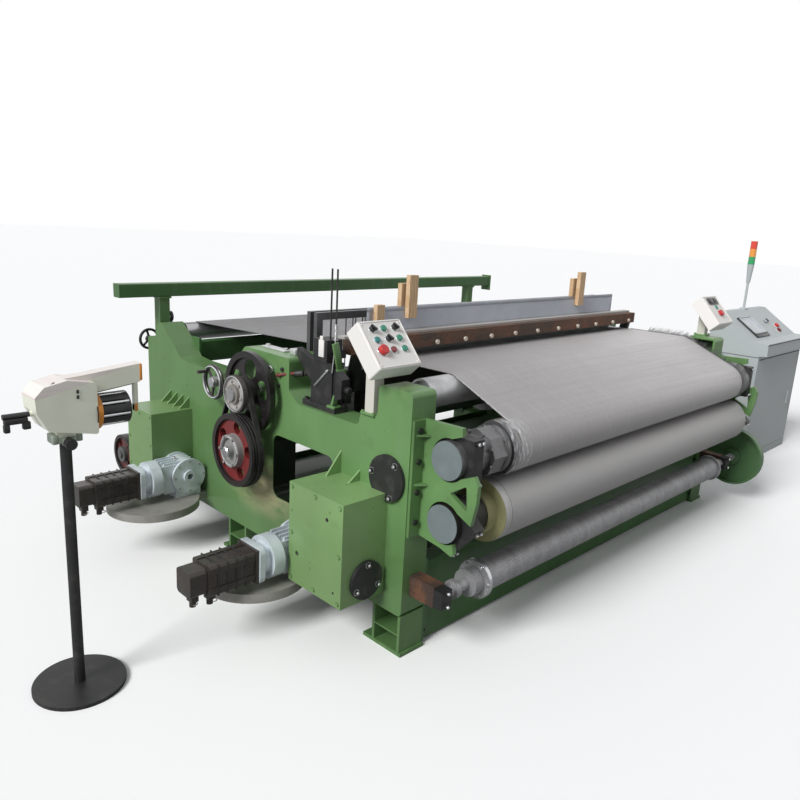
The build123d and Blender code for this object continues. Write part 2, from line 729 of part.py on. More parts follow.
def letoff_wheel():
    x0 = LET_X - LET_W
    wheel = rod_x(LET_R, x0, LET_X, LET_Y, LET_Z)
    wheel -= rod_x(LET_R - 20, x0 - 1, x0 + 14, LET_Y, LET_Z)
    wheel -= rod_x(LET_R - 20, LET_X - 14, LET_X + 1, LET_Y, LET_Z)
    for y, z in ring_points(4, (LET_R - 20 + LET_J + 26) / 2, math.pi / 4):
        wheel -= rod_x(20, x0, LET_X, LET_Y + y, LET_Z + z)
    wheel += rod_x(LET_J + 24, x0 - 8, LET_X + 8, LET_Y, LET_Z)
    return wheel + rod_x(LET_J, x0 - 18, FRAME_T - WALL, LET_Y, LET_Z)


def hull_face(r1, r2):
    # outline of a belt round two wheels, as a face in the plane of the wheels
    dy = RED_Y - MAIN_Y
    dz = RED_Z - MAIN_Z
    dist = math.hypot(dy, dz)
    base = math.atan2(dz, dy)
    lean = math.acos((r1 - r2) / dist)
    quad = []
    for cy, cz, r, side in ((MAIN_Y, MAIN_Z, r1, 1), (RED_Y, RED_Z, r2, 1), (RED_Y, RED_Z, r2, -1), (MAIN_Y, MAIN_Z, r1, -1)):
        angle = base + side * lean
        quad.append((cy + r * math.cos(angle), cz + r * math.sin(angle)))
    face = make_face(Polyline(*quad, close=True))
    return face + Pos(MAIN_Y, MAIN_Z) * Circle(r1) + Pos(RED_Y, RED_Z) * Circle(r2)


def drive_belt():
    outer = hull_face(PULLEY_R + CLEAR + BELT_T, RED_R + CLEAR + BELT_T)
    inner = hull_face(PULLEY_R + CLEAR, RED_R + CLEAR)
    x0 = PULLEY_X - PULLEY_W + 1
    return extrude(Plane.YZ.offset(x0) * (outer - inner), PULLEY_W - 2)


def spoked_wheel(radius, rim, hub, bore, thick):
    # wheel about the local z axis, standing on z = 0
    ring = Cylinder(radius, 1.7 * rim) - Cylinder(radius - 1.8 * rim, 2 * rim)
    ring = Pos(0, 0, thick / 2) * chamfer(ring.edges(), 0.4 * rim)
    wheel = Pos(0, 0, thick / 2) * Cylinder(hub, thick)
    for i in range(3):
        spoke = Pos((radius - rim) / 2, 0, thick / 2) * Box(radius - rim, rim * 1.4, rim)
        wheel += Rot(0, 0, 120 * i + 15) * spoke
    wheel += ring
    return wheel - Pos(0, 0, thick / 2) * Cylinder(bore, thick + 20)


def handwheel():
    wheel = Pos(HAND_X - 26, HAND_Y, HAND_Z) * Rot(0, 90, 0) * spoked_wheel(HAND_R, 9, 26, HAND_J, 26)
    knob_y = HAND_Y + HAND_R * 0.72
    wheel += rod_x(HAND_J, HAND_X - 34, FRAME_T - WALL, HAND_Y, HAND_Z)
    wheel += rod_x(9, HAND_X - 66, HAND_X - 14, knob_y, HAND_Z + HAND_R * 0.5)
    return wheel


def tension_wheel():
    y0 = DEPTH + 34
    wheel = Pos(TENSION_X, y0, TENSION_Z) * Rot(-90, 0, 0) * spoked_wheel(TENSION_R, 8, 20, TENSION_J, 22)
    return wheel + rod_y(TENSION_J, DEPTH - WALL + 1, y0 + 30, TENSION_X, TENSION_Z)


# Sley with its swords, reed and wooden clamps
def sley():
    shaft = rod_x(SLEY_J, WALL, WIDTH - WALL, SLEY_Y, SLEY_Z)
    y0 = SLEY_Y - SLEY_BEAM_W / 2
    beam = block(SLEY_X0, WIDTH - SLEY_X0, y0, y0 + SLEY_BEAM_W, SLEY_TOP - SLEY_BEAM_H, SLEY_TOP)
    low = SLEY_TOP - SLEY_BEAM_H + 10
    beam -= block(SLEY_X0 + 10, WIDTH - SLEY_X0 - 10, y0 + 10, y0 + SLEY_BEAM_W + 1, low, SLEY_TOP - 14)
    half = SWORD_W / 2
    foot_z = SLEY_Z - SLEY_J - 22
    outline = [
        (SLEY_Y - half, foot_z),
        (SLEY_Y + half, foot_z),
        (SLEY_Y + half * 0.6, SLEY_TOP - SLEY_BEAM_H),
        (SLEY_Y - half * 0.6, SLEY_TOP - SLEY_BEAM_H),
    ]
    sword = slab_x(outline, SWORD_X, SWORD_X + SWORD_T)
    cy0, cy1, cz0, cz1 = CAP_BAR
    low = SLEY_TOP - SLEY_BEAM_H
    outline = [(y0, low + 5), (y0 + 24, SLEY_TOP), (cy1, cz0), (cy0, cz0), (cy0 + 10, cz0 - 50), (y0 - 20, low + 5)]
    arm = slab_x(outline, CAP_ARM_X, CAP_ARM_X + CAP_ARM_T)
    return shaft + beam + sword + mirrored(sword) + arm + mirrored(arm)


def reed():
    x1 = WIDTH - REED_X0
    y0 = SLEY_Y - REED_T / 2
    wall = block(REED_X0, x1, y0, y0 + REED_T, SLEY_TOP, REED_TOP)
    run = x1 - REED_X0 - 2 * REED_RAIL
    pitch = (run + REED_WIRE) / REED_GAPS
    gap = pitch - REED_WIRE
    for i in range(REED_GAPS):
        x = REED_X0 + REED_RAIL + i * pitch
        wall -= block(x, x + gap, y0 - 1, y0 + REED_T + 1, SLEY_TOP + REED_RAIL, REED_TOP - REED_RAIL)
    return wall


def wood_clamps():
    boards = []
    front = SLEY_Y - REED_T / 2
    back = SLEY_Y + REED_T / 2
    for x in CLAMP_X:
        boards.append(block(x, x + CLAMP_W, front - CLAMP_T, front, REED_TOP - 54, REED_TOP + 148))
        boards.append(block(x - 16, x + CLAMP_W - 18, back, back + CLAMP_T, REED_TOP - 70, REED_TOP + 107))
    x = CLAMP_LEFT_X
    boards.append(block(x, x + CLAMP_W - 10, front - CLAMP_T, front, REED_TOP - 60, REED_TOP + 16))
    return boards


def heald_frame(y, z0):
    x0 = HEALD_X0
    x1 = WIDTH - HEALD_X0
    half = HEALD_T / 2
    frame = block(x0, x1, y - half, y + half, z0, z0 + HEALD_H)
    frame -= block(x0 + HEALD_RAIL, x1 - HEALD_RAIL, y - half - 1, y + half + 1, z0 + HEALD_RAIL, z0 + HEALD_H - HEALD_RAIL)
    run = WEB_X1 - WEB_X0
    for i in range(HEALD_WIRES):
        x = WEB_X0 + (i + 0.5) * run / HEALD_WIRES
        frame += block(x, x + HEALD_WIRE, y - 2, y + 2, z0 + HEALD_RAIL, z0 + HEALD_H - HEALD_RAIL)
    return frame


def sley_cap():
    y0, y1, z0, z1 = CAP_BAR
    bar = block(CAP_BAR_X0, WIDTH - CAP_BAR_X0, y0, y1, z0, z1)
    bar += block(CAP_BAR_X0, WIDTH - CAP_BAR_X0, y1 - 10, SLEY_Y - REED_T / 2, z1, z1 + CAP_PLATE)
    for i in range(CAP_BAR_BOLTS):
        x = CAP_BOLT_X0 + i * CAP_BOLT_PITCH
        bar += hex_y(y0 - HEX_H, y0, x, z0 + 18)
    return bar


def warp_beam():
    end = FRAME_T + 34
    beam = rod_x(BEAM_J, WALL, WIDTH - WALL, BEAM_Y, BEAM_Z)
    beam += rod_x(BEAM_BARREL, end, WIDTH - end, BEAM_Y, BEAM_Z)
    flange_x = WARP_EDGE - 4
    beam += rod_x(BEAM_WOUND, flange_x, WIDTH - flange_x, BEAM_Y, BEAM_Z)
    flange = rod_x(BEAM_FLANGE, flange_x - BEAM_FLANGE_T, flange_x, BEAM_Y, BEAM_Z)
    return beam + flange + mirrored(flange)


RODS_Y = (520, 555)


# Weft insertion unit over the dip of the left frame
def insertion_unit():
    base = block(20, 96, 470, 690, DIP_Z, DIP_Z + 26)
    head = block(26, 90, 500, 640, DIP_Z + 26, DIP_Z + 210)
    head -= block(56, 91, 530, 610, DIP_Z + 70, DIP_Z + 160)
    cap = block(20, 104, 530, 620, DIP_Z + 210, DIP_Z + 305)
    front = slab_x([(500, DIP_Z + 50), (447, DIP_Z + 70), (447, DIP_Z + 150), (500, DIP_Z + 190)], 34, 78)
    rear = slab_x([(640, DIP_Z + 90), (762, DIP_Z + 200), (762, DIP_Z + 240), (640, DIP_Z + 200)], 40, 70)
    jaw = block(104, 152, 560, 584, DIP_Z + 215, DIP_Z + 250)
    unit = base + head + cap + front + rear + jaw
    for y in (RODS_Y[0], RODS_Y[1]):
        unit += rod_z(4, DIP_Z + 200, DIP_Z + 600, 58, y)
    for x in (34, 82):
        for y in (482, 678):
            unit += extrude(Plane.XY.offset(DIP_Z + 26) * Pos(x, y) * RegularPolygon(10, 6), 9)
    return unit


# Drive boxes
def drive_box(dims, lugs):
    x0, x1, y0, y1, z0, z1 = dims
    wall = BOX_WALL
    body = block(x0 + COVER_T, x1, y0, y1, z0, z1)
    body -= block(x0 + COVER_T - 1, x1 - wall, y0 + wall, y1 - wall, z0 + wall, z1 - wall)
    for share, length, height in lugs:
        y = y0 + share * (y1 - y0)
        body += slab_y([(x1 - length, z1), (x1, z1), (x1, z1 + height)], y, y + 8)
    return body


def box_cover(dims):
    x0, x1, y0, y1, z0, z1 = dims
    plate = block(x0, x0 + COVER_T, y0, y1, z0, z1)
    edge = 18
    for y in (y0 + edge, (y0 + y1) / 2, y1 - edge):
        for z in (z0 + edge, (z0 + z1) / 2, z1 - edge):
            if y == (y0 + y1) / 2 and z == (z0 + z1) / 2:
                continue
            plate += hex_x(x0 - 4, x0, y, z, 13)
    return plate


def flange_caps():
    frame_cap = rod_x(CAP_R, -CAP_DISC, 0, CAP_Y, CAP_Z)
    frame_cap -= block(*TAKEUP_BOX)
    for y, z in ring_points(3, CAP_R - 15, 0.15):
        if not (CAP_Y + y > TAKEUP_BOX[2] - 14 and CAP_Z + z < TAKEUP_BOX[5] + 14):
            frame_cap += hex_x(-CAP_DISC - HEX_H, -CAP_DISC, CAP_Y + y, CAP_Z + z, 20)
    y0 = TAKEUP_BOX[2]
    worm_cap = rod_y(WORM_CAP_R, y0 - CAP_DISC, y0, WORM_X, TAKEUP_GEAR_Z)
    for x, z in ring_points(3, WORM_CAP_R - 15, math.pi / 2):
        worm_cap += hex_y(y0 - CAP_DISC - HEX_H, y0 - CAP_DISC, WORM_X + x, TAKEUP_GEAR_Z + z, 18)
    right_cap = mirrored(rod_x(CAP_R, -CAP_DISC, 0, CAP_Y, CAP_Z))
    return [frame_cap, worm_cap, right_cap]


# Right-angle worm gearbox: output along y, input flange towards -x
def gearbox(y0, z, hub_side):
    y1 = y0 + GEAR_L
    mid = (y0 + y1) / 2
    body = rod_y(GEAR_R - 8, y0, y1, WORM_X, z)
    for edge in (y0, y1 - 14):
        body += rod_y(GEAR_R, edge, edge + 14, WORM_X, z)
    body += block(WORM_X - 160, WORM_X, mid - 58, mid + 58, z - 70, z + 70)
    body += rod_x(GEAR_R, WORM_X - 202, WORM_X - 150, mid, z)
    body += block(WORM_X - 70, WORM_X + 70, mid - 62, mid + 62, z - SHELF_DROP, z - 60)
    for i in range(4):
        y = mid - 51 + i * 31
        body += block(WORM_X - 128, WORM_X + 40, y, y + 9, z - 82, z + 82)
    bell = rod_x(66, INPUT_X + 23, WORM_X - 200, mid, z)
    body += bell
    body += Pos(INPUT_X, mid, z) * Rot(0, 90, 0) * extrude(RectangleRounded(158, 158, 30), 24)
    body += rod_y(34, y0 - 14, y0 + 1, WORM_X, z) if hub_side < 0 else rod_y(34, y1 - 1, y1 + 14, WORM_X, z)
    return body - rod_y(16, y0 - 15, y1 + 1, WORM_X, z)


def servo_motor(y0, z):
    mid = y0 + GEAR_L / 2
    half = MOTOR / 2
    x1 = INPUT_X - MOTOR_PLATE
    x0 = x1 - MOTOR_L
    plate = block(x1, INPUT_X, mid - half - 6, mid + half + 6, z - half - 6, z + half + 6)
    profile = RectangleRounded(MOTOR, MOTOR, 16)
    for side in (0, 90, 180, 270):
        profile -= Rot(0, 0, side) * Pos(half, 0) * Rectangle(8, 58)
    body = Pos(x0, mid, z) * Rot(0, 90, 0) * extrude(profile, MOTOR_L)
    small = ENCODER / 2
    cap = Pos(x0 - ENCODER_L, mid, z) * Rot(0, 90, 0) * extrude(RectangleRounded(ENCODER, ENCODER, 18), ENCODER_L)
    motor = plate + body + cap
    for x, drop in ((x0 + 20, half), (x0 - ENCODER_L + 22, small)):
        motor += block(x, x + 30, mid - 20, mid + 20, z - drop - 34, z - drop + 9)
        motor += rod_z(13, z - drop - 58, z - drop - 33, x + 15, mid)
    return motor


def motor_shelf(centre_y, cut_y, mid, z):
    # half-moon tray with a deep lip, on a tongue that is bolted to the frame
    top = z - SHELF_DROP
    disc = Pos(SHELF_X, centre_y) * Circle(SHELF_R)
    disc -= Pos(SHELF_X, cut_y + SHELF_R) * Rectangle(3 * SHELF_R, 2 * SHELF_R)
    tongue = Pos(SHELF_X / 2, mid) * Rectangle(-SHELF_X, SHELF_TONGUE)
    face = disc + tongue
    tray = extrude(Plane.XY.offset(top - SHELF_LIP) * face, SHELF_LIP)
    inner = offset(disc, -SHELF_T)
    return tray - extrude(Plane.XY.offset(top - SHELF_LIP) * inner, SHELF_LIP - SHELF_T)


# Pendants on their posts
def pendant_plane(right):
    x = WIDTH - PENDANT_X if right else PENDANT_X
    normal = (0, -math.sin(math.radians(PENDANT_TILT)), math.cos(math.radians(PENDANT_TILT)))
    y = PENDANT_Y + (RIGHT_SHIFT_Y if right else 0)
    z = PENDANT_Z + (RIGHT_SHIFT_Z if right else 0)
    return Plane(origin=(x, y, z), x_dir=(1, 0, 0), z_dir=normal)


def button_places():
    # columns from the left and rows from the top edge of the pendant face
    columns = (-58, 0, 58)
    rows = (66, 18, -30)
    return [(c, r) for r in rows for c in columns]


def pendant(right, holes):
    plane = pendant_plane(right)
    shell = Pos(0, 0, -PENDANT_T / 2) * Box(PENDANT_W, PENDANT_L, PENDANT_T)
    shell = fillet(shell.edges().filter_by(Axis.Z), 8)
    shell = chamfer(shell.edges().group_by(Axis.Z)[-1], 3)
    for x, y in holes:
        shell -= Pos(x, y, -14) * Cylinder(BUTTON_STEM + FIT, 30)
    return plane * shell


def pendant_post(right):
    plane = pendant_plane(right)
    x, y, z = plane.origin
    y += PENDANT_BACK
    half = POST / 2
    post = block(x - half, x + half, y - half, y + half, FRONT_TOP_Z if right else POST_SEAT_Z, z + 60)
    return post - plane * (Pos(0, 0, -PENDANT_T + 200) * Box(400, 500, 400))


def button(right, place, radius, height, travel):
    x, y = place
    gap = travel + 0.5
    stem = Pos(x, y, (gap + 2 - 22) / 2) * Cylinder(BUTTON_STEM, gap + 2 + 22)
    head = Pos(x, y, gap + height / 2) * Cylinder(radius, height)
    head = chamfer(head.edges().group_by(Axis.Z)[-1], 2.5)
    return pendant_plane(right) * (stem + head)


def lamp(right, place):
    x, y = place
    lens = Pos(x, y, 5) * Cylinder(BUTTON_R, 10)
    return pendant_plane(right) * chamfer(lens.edges().group_by(Axis.Z)[-1], 2)


# Control console
def console_slope():
    x0, x1, y0, y1, z0, z1 = CABINET
    return math.degrees(math.atan2(CONSOLE_REAR_Z - LEDGE_Z, y1 - CONSOLE_FLAT - LEDGE_Y))


def console_plane():
    tilt = math.radians(console_slope())
    place = (CABINET[0], LEDGE_Y, LEDGE_Z)
    return Plane(origin=place, x_dir=(1, 0, 0), z_dir=(0, -math.sin(tilt), math.cos(tilt)))


def cabinet_body():
    x0, x1, y0, y1, z0, z1 = CABINET
    body = block(x0, x1, y0, y1, z0, z1)
    body -= block(x0 + 20, x1 - 20, y0 - 1, y1 - 4, z0 + 70, z1 - 20)
    body -= block(x0 + DOOR_BORDER, x1 - DOOR_BORDER, y0 - 1, y0 + DOOR_T + 2, z0 + 60, z1 - DOOR_BORDER)
    hx, hy = door_hinge()
    body -= rod_z(HINGE_PIN + FIT, z0 + 42, z0 + 61, hx, hy)
    body -= rod_z(HINGE_PIN + FIT, z1 - DOOR_BORDER - 1, z1 - 8, hx, hy)
    body -= block(x0 + 20, hx + HINGE_R, y0 + DOOR_T, y0 + DOOR_T + 18, z0 + 60, z1 - 20)
    return body


def door_hinge():
    x0, x1, y0, y1, z0, z1 = CABINET
    return x0 + DOOR_BORDER + HINGE_R + DOOR_GAP, y0 + HINGE_R


def cabinet_door():
    x0, x1, y0, y1, z0, z1 = CABINET
    hx, hy = door_hinge()
    low = z0 + 60 + DOOR_GAP
    high = z1 - DOOR_BORDER - DOOR_GAP
    door = block(hx, x1 - DOOR_BORDER - DOOR_GAP, y0, y0 + DOOR_T, low, high)
    door += rod_z(HINGE_R, low, high, hx, hy) + rod_z(HINGE_PIN, low - 18, high + 16, hx, hy)
    handle_x = x1 - DOOR_BORDER - 120
    handle_z = z0 + 0.52 * (z1 - z0)
    door += block(handle_x, handle_x + 26, y0 - 14, y0, handle_z - 55, handle_z + 55)
    return door


def console_top():
    x0, x1, y0, y1, z0, z1 = CABINET
    front = y0 - CONSOLE_NOSE
    outline = [
        (y0, z1),
        (y1, z1),
        (y1, CONSOLE_REAR_Z),
        (y1 - CONSOLE_FLAT, CONSOLE_REAR_Z),
        (LEDGE_Y, LEDGE_Z),
        (front + 4, CONSOLE_FRONT_Z),
        (front, z1 + 16),
        (y0, z1 + 8),
    ]
    top = slab_x(outline, x0 - CONSOLE_OVER, x1 + CONSOLE_OVER)
    top -= block(x0 + 30, x1 - 30, y0 + 30, y1 - 40, z1 - 1, z1 + 60)
    plane = console_plane()
    for place in CONSOLE_PLACES:
        top -= plane * (Pos(place[0], place[1], -14) * Cylinder(BUTTON_STEM + FIT, 30))
    return top + signal_pole()


CONSOLE_PLACES = ((760, 110), (640, 170))


def console_mushroom():
    x, y = CONSOLE_PLACES[0]
    gap = BUTTON_TRAVEL + 0.5
    stem = Pos(x, y, (gap + 2 - 22) / 2) * Cylinder(BUTTON_STEM, gap + 2 + 22)
    head = Pos(x, y, gap + MUSHROOM_H / 2) * Cylinder(MUSHROOM_R, MUSHROOM_H)
    head = fillet(head.edges().group_by(Axis.Z)[-1], 5)
    return console_plane() * (stem + head)


def touch_screen():
    body = Pos(SCREEN_X, 150, SCREEN_T / 2) * Box(SCREEN_W, SCREEN_L, SCREEN_T)
    body = chamfer(body.edges().group_by(Axis.Z)[-1], 4)
    body -= Pos(SCREEN_X, 150, SCREEN_T) * Box(SCREEN_W - 40, SCREEN_L - 40, 3)
    x, y = CONSOLE_PLACES[1]
    knob = Pos(x, y, 9) * Cylinder(14, 18)
    stem = Pos(x, y, -8) * Cylinder(BUTTON_STEM, 17)
    return [console_plane() * body, console_plane() * (knob + stem)]


def signal_pole():
    pole = rod_z(TOWER_POLE_R, CONSOLE_REAR_Z, TOWER_POLE_TOP, TOWER_X, TOWER_Y)
    foot = rod_z(30, CONSOLE_REAR_Z, CONSOLE_REAR_Z + 8, TOWER_X, TOWER_Y)
    cone_h = TOWER_LENS_Z - TOWER_POLE_TOP
    cone = Pos(TOWER_X, TOWER_Y, TOWER_POLE_TOP + cone_h / 2) * Cone(15, TOWER_LENS_R, cone_h)
    return pole + foot + cone


def signal_lenses():
    lenses = []
    for i in range(3):
        z = TOWER_LENS_Z + i * TOWER_LENS_H
        lenses.append(rod_z(TOWER_LENS_R, z, z + TOWER_LENS_H - CLEAR / 3, TOWER_X, TOWER_Y))
    return lenses


# Weft feeder on its floor stand
def feeder_body():
    top = FEEDER_Z + 127
    profile = [
        (FEEDER_X0, FEEDER_Z + 81),
        (FEEDER_X0 + 3, FEEDER_Z + 31),
        (FEEDER_X0 + 36, FEEDER_Z - 35),
        (FEEDER_X1, FEEDER_Z - 69),
        (FEEDER_X1, top - 18),
        (FEEDER_X0 + 102, top),
        (FEEDER_X0 + 30, FEEDER_Z + 112),
    ]
    body = slab_y(profile, FEEDER_Y - 60, FEEDER_Y + 60, 9)
    low = FEEDER_Z + FEEDER_R + 5
    arm = [
        (FEEDER_X1 - 60, low),
        (FEEDER_X1 + FEEDER_DISC_T, low),
        (FEEDER_X1 + 166, low + 18),
        (FEEDER_X1 + 169, low + 83),
        (FEEDER_X1 - 30, top + 5),
        (FEEDER_X1 - 95, top),
    ]
    body += slab_y(arm, FEEDER_Y - 26, FEEDER_Y + 26)
    end = FEEDER_X1 + 150
    body += block(end, end + 14, FEEDER_Y - 9, FEEDER_Y + 9, FEEDER_Z - 20, low + 30)
    stand = FEEDER_STAND_X
    bar_z = FEEDER_Z - FEEDER_R - 26
    saddle = block(stand - 34, stand + 34, FEEDER_Y - 24, FEEDER_Y + 24, bar_z, FEEDER_Z - 40)
    body += saddle - rod_y(STAND_R, FEEDER_Y - 25, FEEDER_Y + 25, stand, bar_z)
    return body + rod_x(9, FEEDER_X0 - 81, FEEDER_X0 + 40, FEEDER_Y, FEEDER_Z + 18)


def feeder_drum():
    x0 = FEEDER_X1 + FEEDER_DISC_T + CLEAR
    drum = rod_x(FEEDER_DRUM_R, x0, x0 + FEEDER_DRUM_L, FEEDER_Y, FEEDER_Z)
    for y, z in ring_points(8, FEEDER_DRUM_R, 0.2):
        drum -= rod_x(9, x0 - 1, x0 + FEEDER_DRUM_L - 18, FEEDER_Y + y, FEEDER_Z + z)
    drum += rod_x(14, FEEDER_X1, x0 + 1, FEEDER_Y, FEEDER_Z)
    return drum


def feeder_disc():
    ring = rod_x(FEEDER_R, FEEDER_X1 + CLEAR, FEEDER_X1 + FEEDER_DISC_T, FEEDER_Y, FEEDER_Z)
    return ring - rod_x(14 + FIT, FEEDER_X1 - 1, FEEDER_X1 + FEEDER_DISC_T + 1, FEEDER_Y, FEEDER_Z)


def feeder_stand():
    bar_z = FEEDER_Z - FEEDER_R - 26
    post = rod_z(STAND_R, STAND_BASE_T, bar_z, FEEDER_STAND_X, FEEDER_Y)
    base = rod_z(STAND_BASE_R, 0, STAND_BASE_T, FEEDER_STAND_X, FEEDER_Y)
    bar = rod_y(STAND_R, FEEDER_Y - 60, FEEDER_Y + 60, FEEDER_STAND_X, bar_z)
    return post + base + bar


def save(name, shape):
    shape = Pos(-WIDTH / 2, -ANCHOR_Y - (FOOT_Y[0] + FOOT_Y[-1]) / 2, 0) * shape
    export_step(shape, f"parts/{name}.step")


def save_group(name, shapes):
    save(name, group(shapes))


LEFT_BUTTONS = {"button_a": 0, "button_b": 2, "button_c": 4}
LEFT_LAMPS = (1, 3, 5, 7, 8)
STOP_PLACE = 6
RIGHT_LAMP = 4
RIGHT_STOP = 7

save("side_frame_left", side_frame(True))
save("side_frame_right", side_frame(False))
save_group("cross_beams", [cross_beam(FRONT_BEAM), cross_beam(REAR_BEAM), cross_beam(MID_BEAM), oil_tray()])
save("top_beam", top_beam())
save_group("top_beam_brackets", [top_bracket(44, True), mirrored(top_bracket(70, False))])
save("beam_lever", beam_lever())
save("roll_bracket_left", roll_bracket())
save("roll_bracket_right", mirrored(roll_bracket()))
save_group("bearing_caps", bearing_caps())
save_group("lower_roll_bearings", [lower_bearing(True), mirrored(lower_bearing(False))])
save("breast_roll", breast_roll())
save("middle_roll", middle_roll())
save("lower_roll", lower_roll())
save("brake_disc", brake_disc())
save("guide_roller", support_tube())
save("mesh_web", web())
save("warp_sheet", warp_sheet())
save("main_shaft", main_shaft())
save("flywheel", flywheel())
save("shaft_pulley", shaft_pulley())
save("red_pulley", red_pulley())
save("drive_belt", drive_belt())
save("letoff_wheel", letoff_wheel())
save("handwheel", handwheel())
save("tension_wheel", tension_wheel())
save("sley", sley())
save("reed", reed())
save_group("wood_clamps", wood_clamps())
save("heald_frame_front", heald_frame(HEALD_Y[0], HEALD_Z0))
save("heald_frame_rear", heald_frame(HEALD_Y[1], HEALD_Z0))
save("sley_cap", sley_cap())
save("warp_beam", warp_beam())
save("back_roll", plain_roll(BACK_R, BACK_J, BACK_Y, BACK_Z, FRAME_T + 8))
save("insertion_unit", insertion_unit())
save("takeup_box", drive_box(TAKEUP_BOX, [(0.86, 78, 96), (0.5, 60, 44)]))
save("letoff_box", drive_box(LETOFF_BOX, [(0.1, 62, 60), (0.34, 62, 60), (0.58, 62, 60), (0.82, 62, 60)]))
save_group("drive_box_covers", [box_cover(TAKEUP_BOX), box_cover(LETOFF_BOX)])
save_group("flange_caps", flange_caps())
TAKEUP_GEAR_Y = TAKEUP_BOX[3]
LETOFF_GEAR_Y = LETOFF_BOX[2] - GEAR_L
save_group("worm_gearboxes", [gearbox(TAKEUP_GEAR_Y, TAKEUP_GEAR_Z, 1), gearbox(LETOFF_GEAR_Y, LETOFF_GEAR_Z, -1)])
save_group("servo_motors", [servo_motor(TAKEUP_GEAR_Y, TAKEUP_GEAR_Z), servo_motor(LETOFF_GEAR_Y, LETOFF_GEAR_Z)])
TAKEUP_SHELF = motor_shelf(*TAKEUP_SHELF_Y, TAKEUP_GEAR_Y + GEAR_L / 2, TAKEUP_GEAR_Z)
LETOFF_SHELF = motor_shelf(*LETOFF_SHELF_Y, LETOFF_GEAR_Y + GEAR_L / 2, LETOFF_GEAR_Z)
save_group("motor_shelves", [TAKEUP_SHELF, LETOFF_SHELF])
PLACES = button_places()
left_holes = [PLACES[i] for i in LEFT_BUTTONS.values()] + [PLACES[STOP_PLACE]]
save("pendant_left", pendant(False, left_holes))
save("pendant_right", pendant(True, [PLACES[RIGHT_STOP]]))
save_group("pendant_posts", [pendant_post(False), pendant_post(True)])
save_group("pendant_lamps", [lamp(False, PLACES[i]) for i in LEFT_LAMPS] + [lamp(True, PLACES[RIGHT_LAMP])])
for name, i in LEFT_BUTTONS.items():
    save(name, button(False, PLACES[i], BUTTON_R, BUTTON_H, BUTTON_TRAVEL))
save("stop_button_left", button(False, PLACES[STOP_PLACE], MUSHROOM_R, MUSHROOM_H, BUTTON_TRAVEL))
save("stop_button_right", button(True, PLACES[RIGHT_STOP], MUSHROOM_R, MUSHROOM_H, BUTTON_TRAVEL))
save("cabinet_body", cabinet_body())
save("cabinet_door", cabinet_door())
save("console_top", console_top())
save("stop_button_console", console_mushroom())
save_group("touch_screen", touch_screen())
save_group("signal_lenses", signal_lenses())
save("feeder_body", feeder_body())
save("feeder_drum", feeder_drum())
save("feeder_disc", feeder_disc())
save("feeder_stand", feeder_stand())
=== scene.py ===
import math
import random
from itertools import product

import bmesh
import bpy
from mathutils import Matrix, Vector, noise


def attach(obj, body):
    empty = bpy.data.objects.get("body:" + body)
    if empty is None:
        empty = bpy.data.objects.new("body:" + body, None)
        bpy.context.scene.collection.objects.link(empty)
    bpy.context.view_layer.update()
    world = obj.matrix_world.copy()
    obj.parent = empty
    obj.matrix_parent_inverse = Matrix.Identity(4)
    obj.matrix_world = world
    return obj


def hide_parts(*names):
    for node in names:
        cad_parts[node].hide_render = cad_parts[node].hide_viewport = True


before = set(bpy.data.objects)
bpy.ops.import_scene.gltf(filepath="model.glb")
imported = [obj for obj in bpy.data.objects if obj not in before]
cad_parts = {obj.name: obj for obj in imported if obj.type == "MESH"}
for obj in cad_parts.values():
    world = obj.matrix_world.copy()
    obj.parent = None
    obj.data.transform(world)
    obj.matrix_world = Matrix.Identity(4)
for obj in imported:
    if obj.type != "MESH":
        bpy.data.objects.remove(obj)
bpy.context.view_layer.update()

# Datum of the part's source: outer face of the left frame, its front edge and the floor
WIDTH = 2.865
DATUM_X = -WIDTH / 2
DATUM_Y = -1.161

MACHINE = "machine"

GREEN = (0.125, 0.248, 0.088)
BOX_GREEN = (0.205, 0.345, 0.135)
DARK_GREEN = (0.050, 0.135, 0.038)

# Millimetres: rolls as (depth, height, radius), axles as (depth, height), the cloth's fell and its two edges
BREAST = (-138, 862, 109)
MIDDLE = (-136, 611, 130)
LOWER = (-130, 305)
TUBE = (150, 1036, 64)
MAIN = (1000, 906)
RED = (1004, 636)
HAND = (1310, 893)
DRUM = (640, 1023)
FELL = (518, 1098)
WEB_X = (372, 2600)
CLOTH_LIFT = 1.8  # from a roll's skin to the middle of the cloth
FREE_ROWS = 46  # rows of the cloth whose edges stand free, counted from the fell
DENTS, DENT_PITCH = 650, 3.3
WARP_ENDS, WARP_PITCH = 253, 8.8

# Metres: the cloth's wires, the film round the breast roll and the signal tower's lenses
WIRE_PITCH = 0.0028
CLOTH_THICK = 0.0012
FILM_RADIUS = 0.1128
TOWER_FOOT, LENS_HIGH = 1.523, 0.062

# Stretch of a noise that draws the lines of a lathe tool
TOOL_LINES = (90, 2, 2)

# Axes for turned parts
LEFT, RIGHT, UP, FRONT = (-1, 0, 0), (1, 0, 0), (0, 0, 1), (0, -1, 0)


def at(x, y, z):
    return Vector((x / 1000 + DATUM_X, y / 1000 + DATUM_Y, z / 1000))


# Camera
def aim_camera():
    lens = bpy.data.cameras.new("camera")
    lens.lens = 32.3
    lens.sensor_width = 36
    eye = bpy.data.objects.new("camera", lens)
    bpy.context.scene.collection.objects.link(eye)
    right = Vector((0.71080153, -0.70146674, 0.05201531))
    up = Vector((0.13195023, 0.20561138, 0.96969743))
    back = Vector((-0.69090543, -0.68239899, 0.23870758))
    turn = Matrix((right, up, back)).transposed().to_4x4()
    eye.matrix_world = Matrix.Translation(at(-1861.5, -1771.7, 1700)) @ turn
    bpy.context.scene.camera = eye


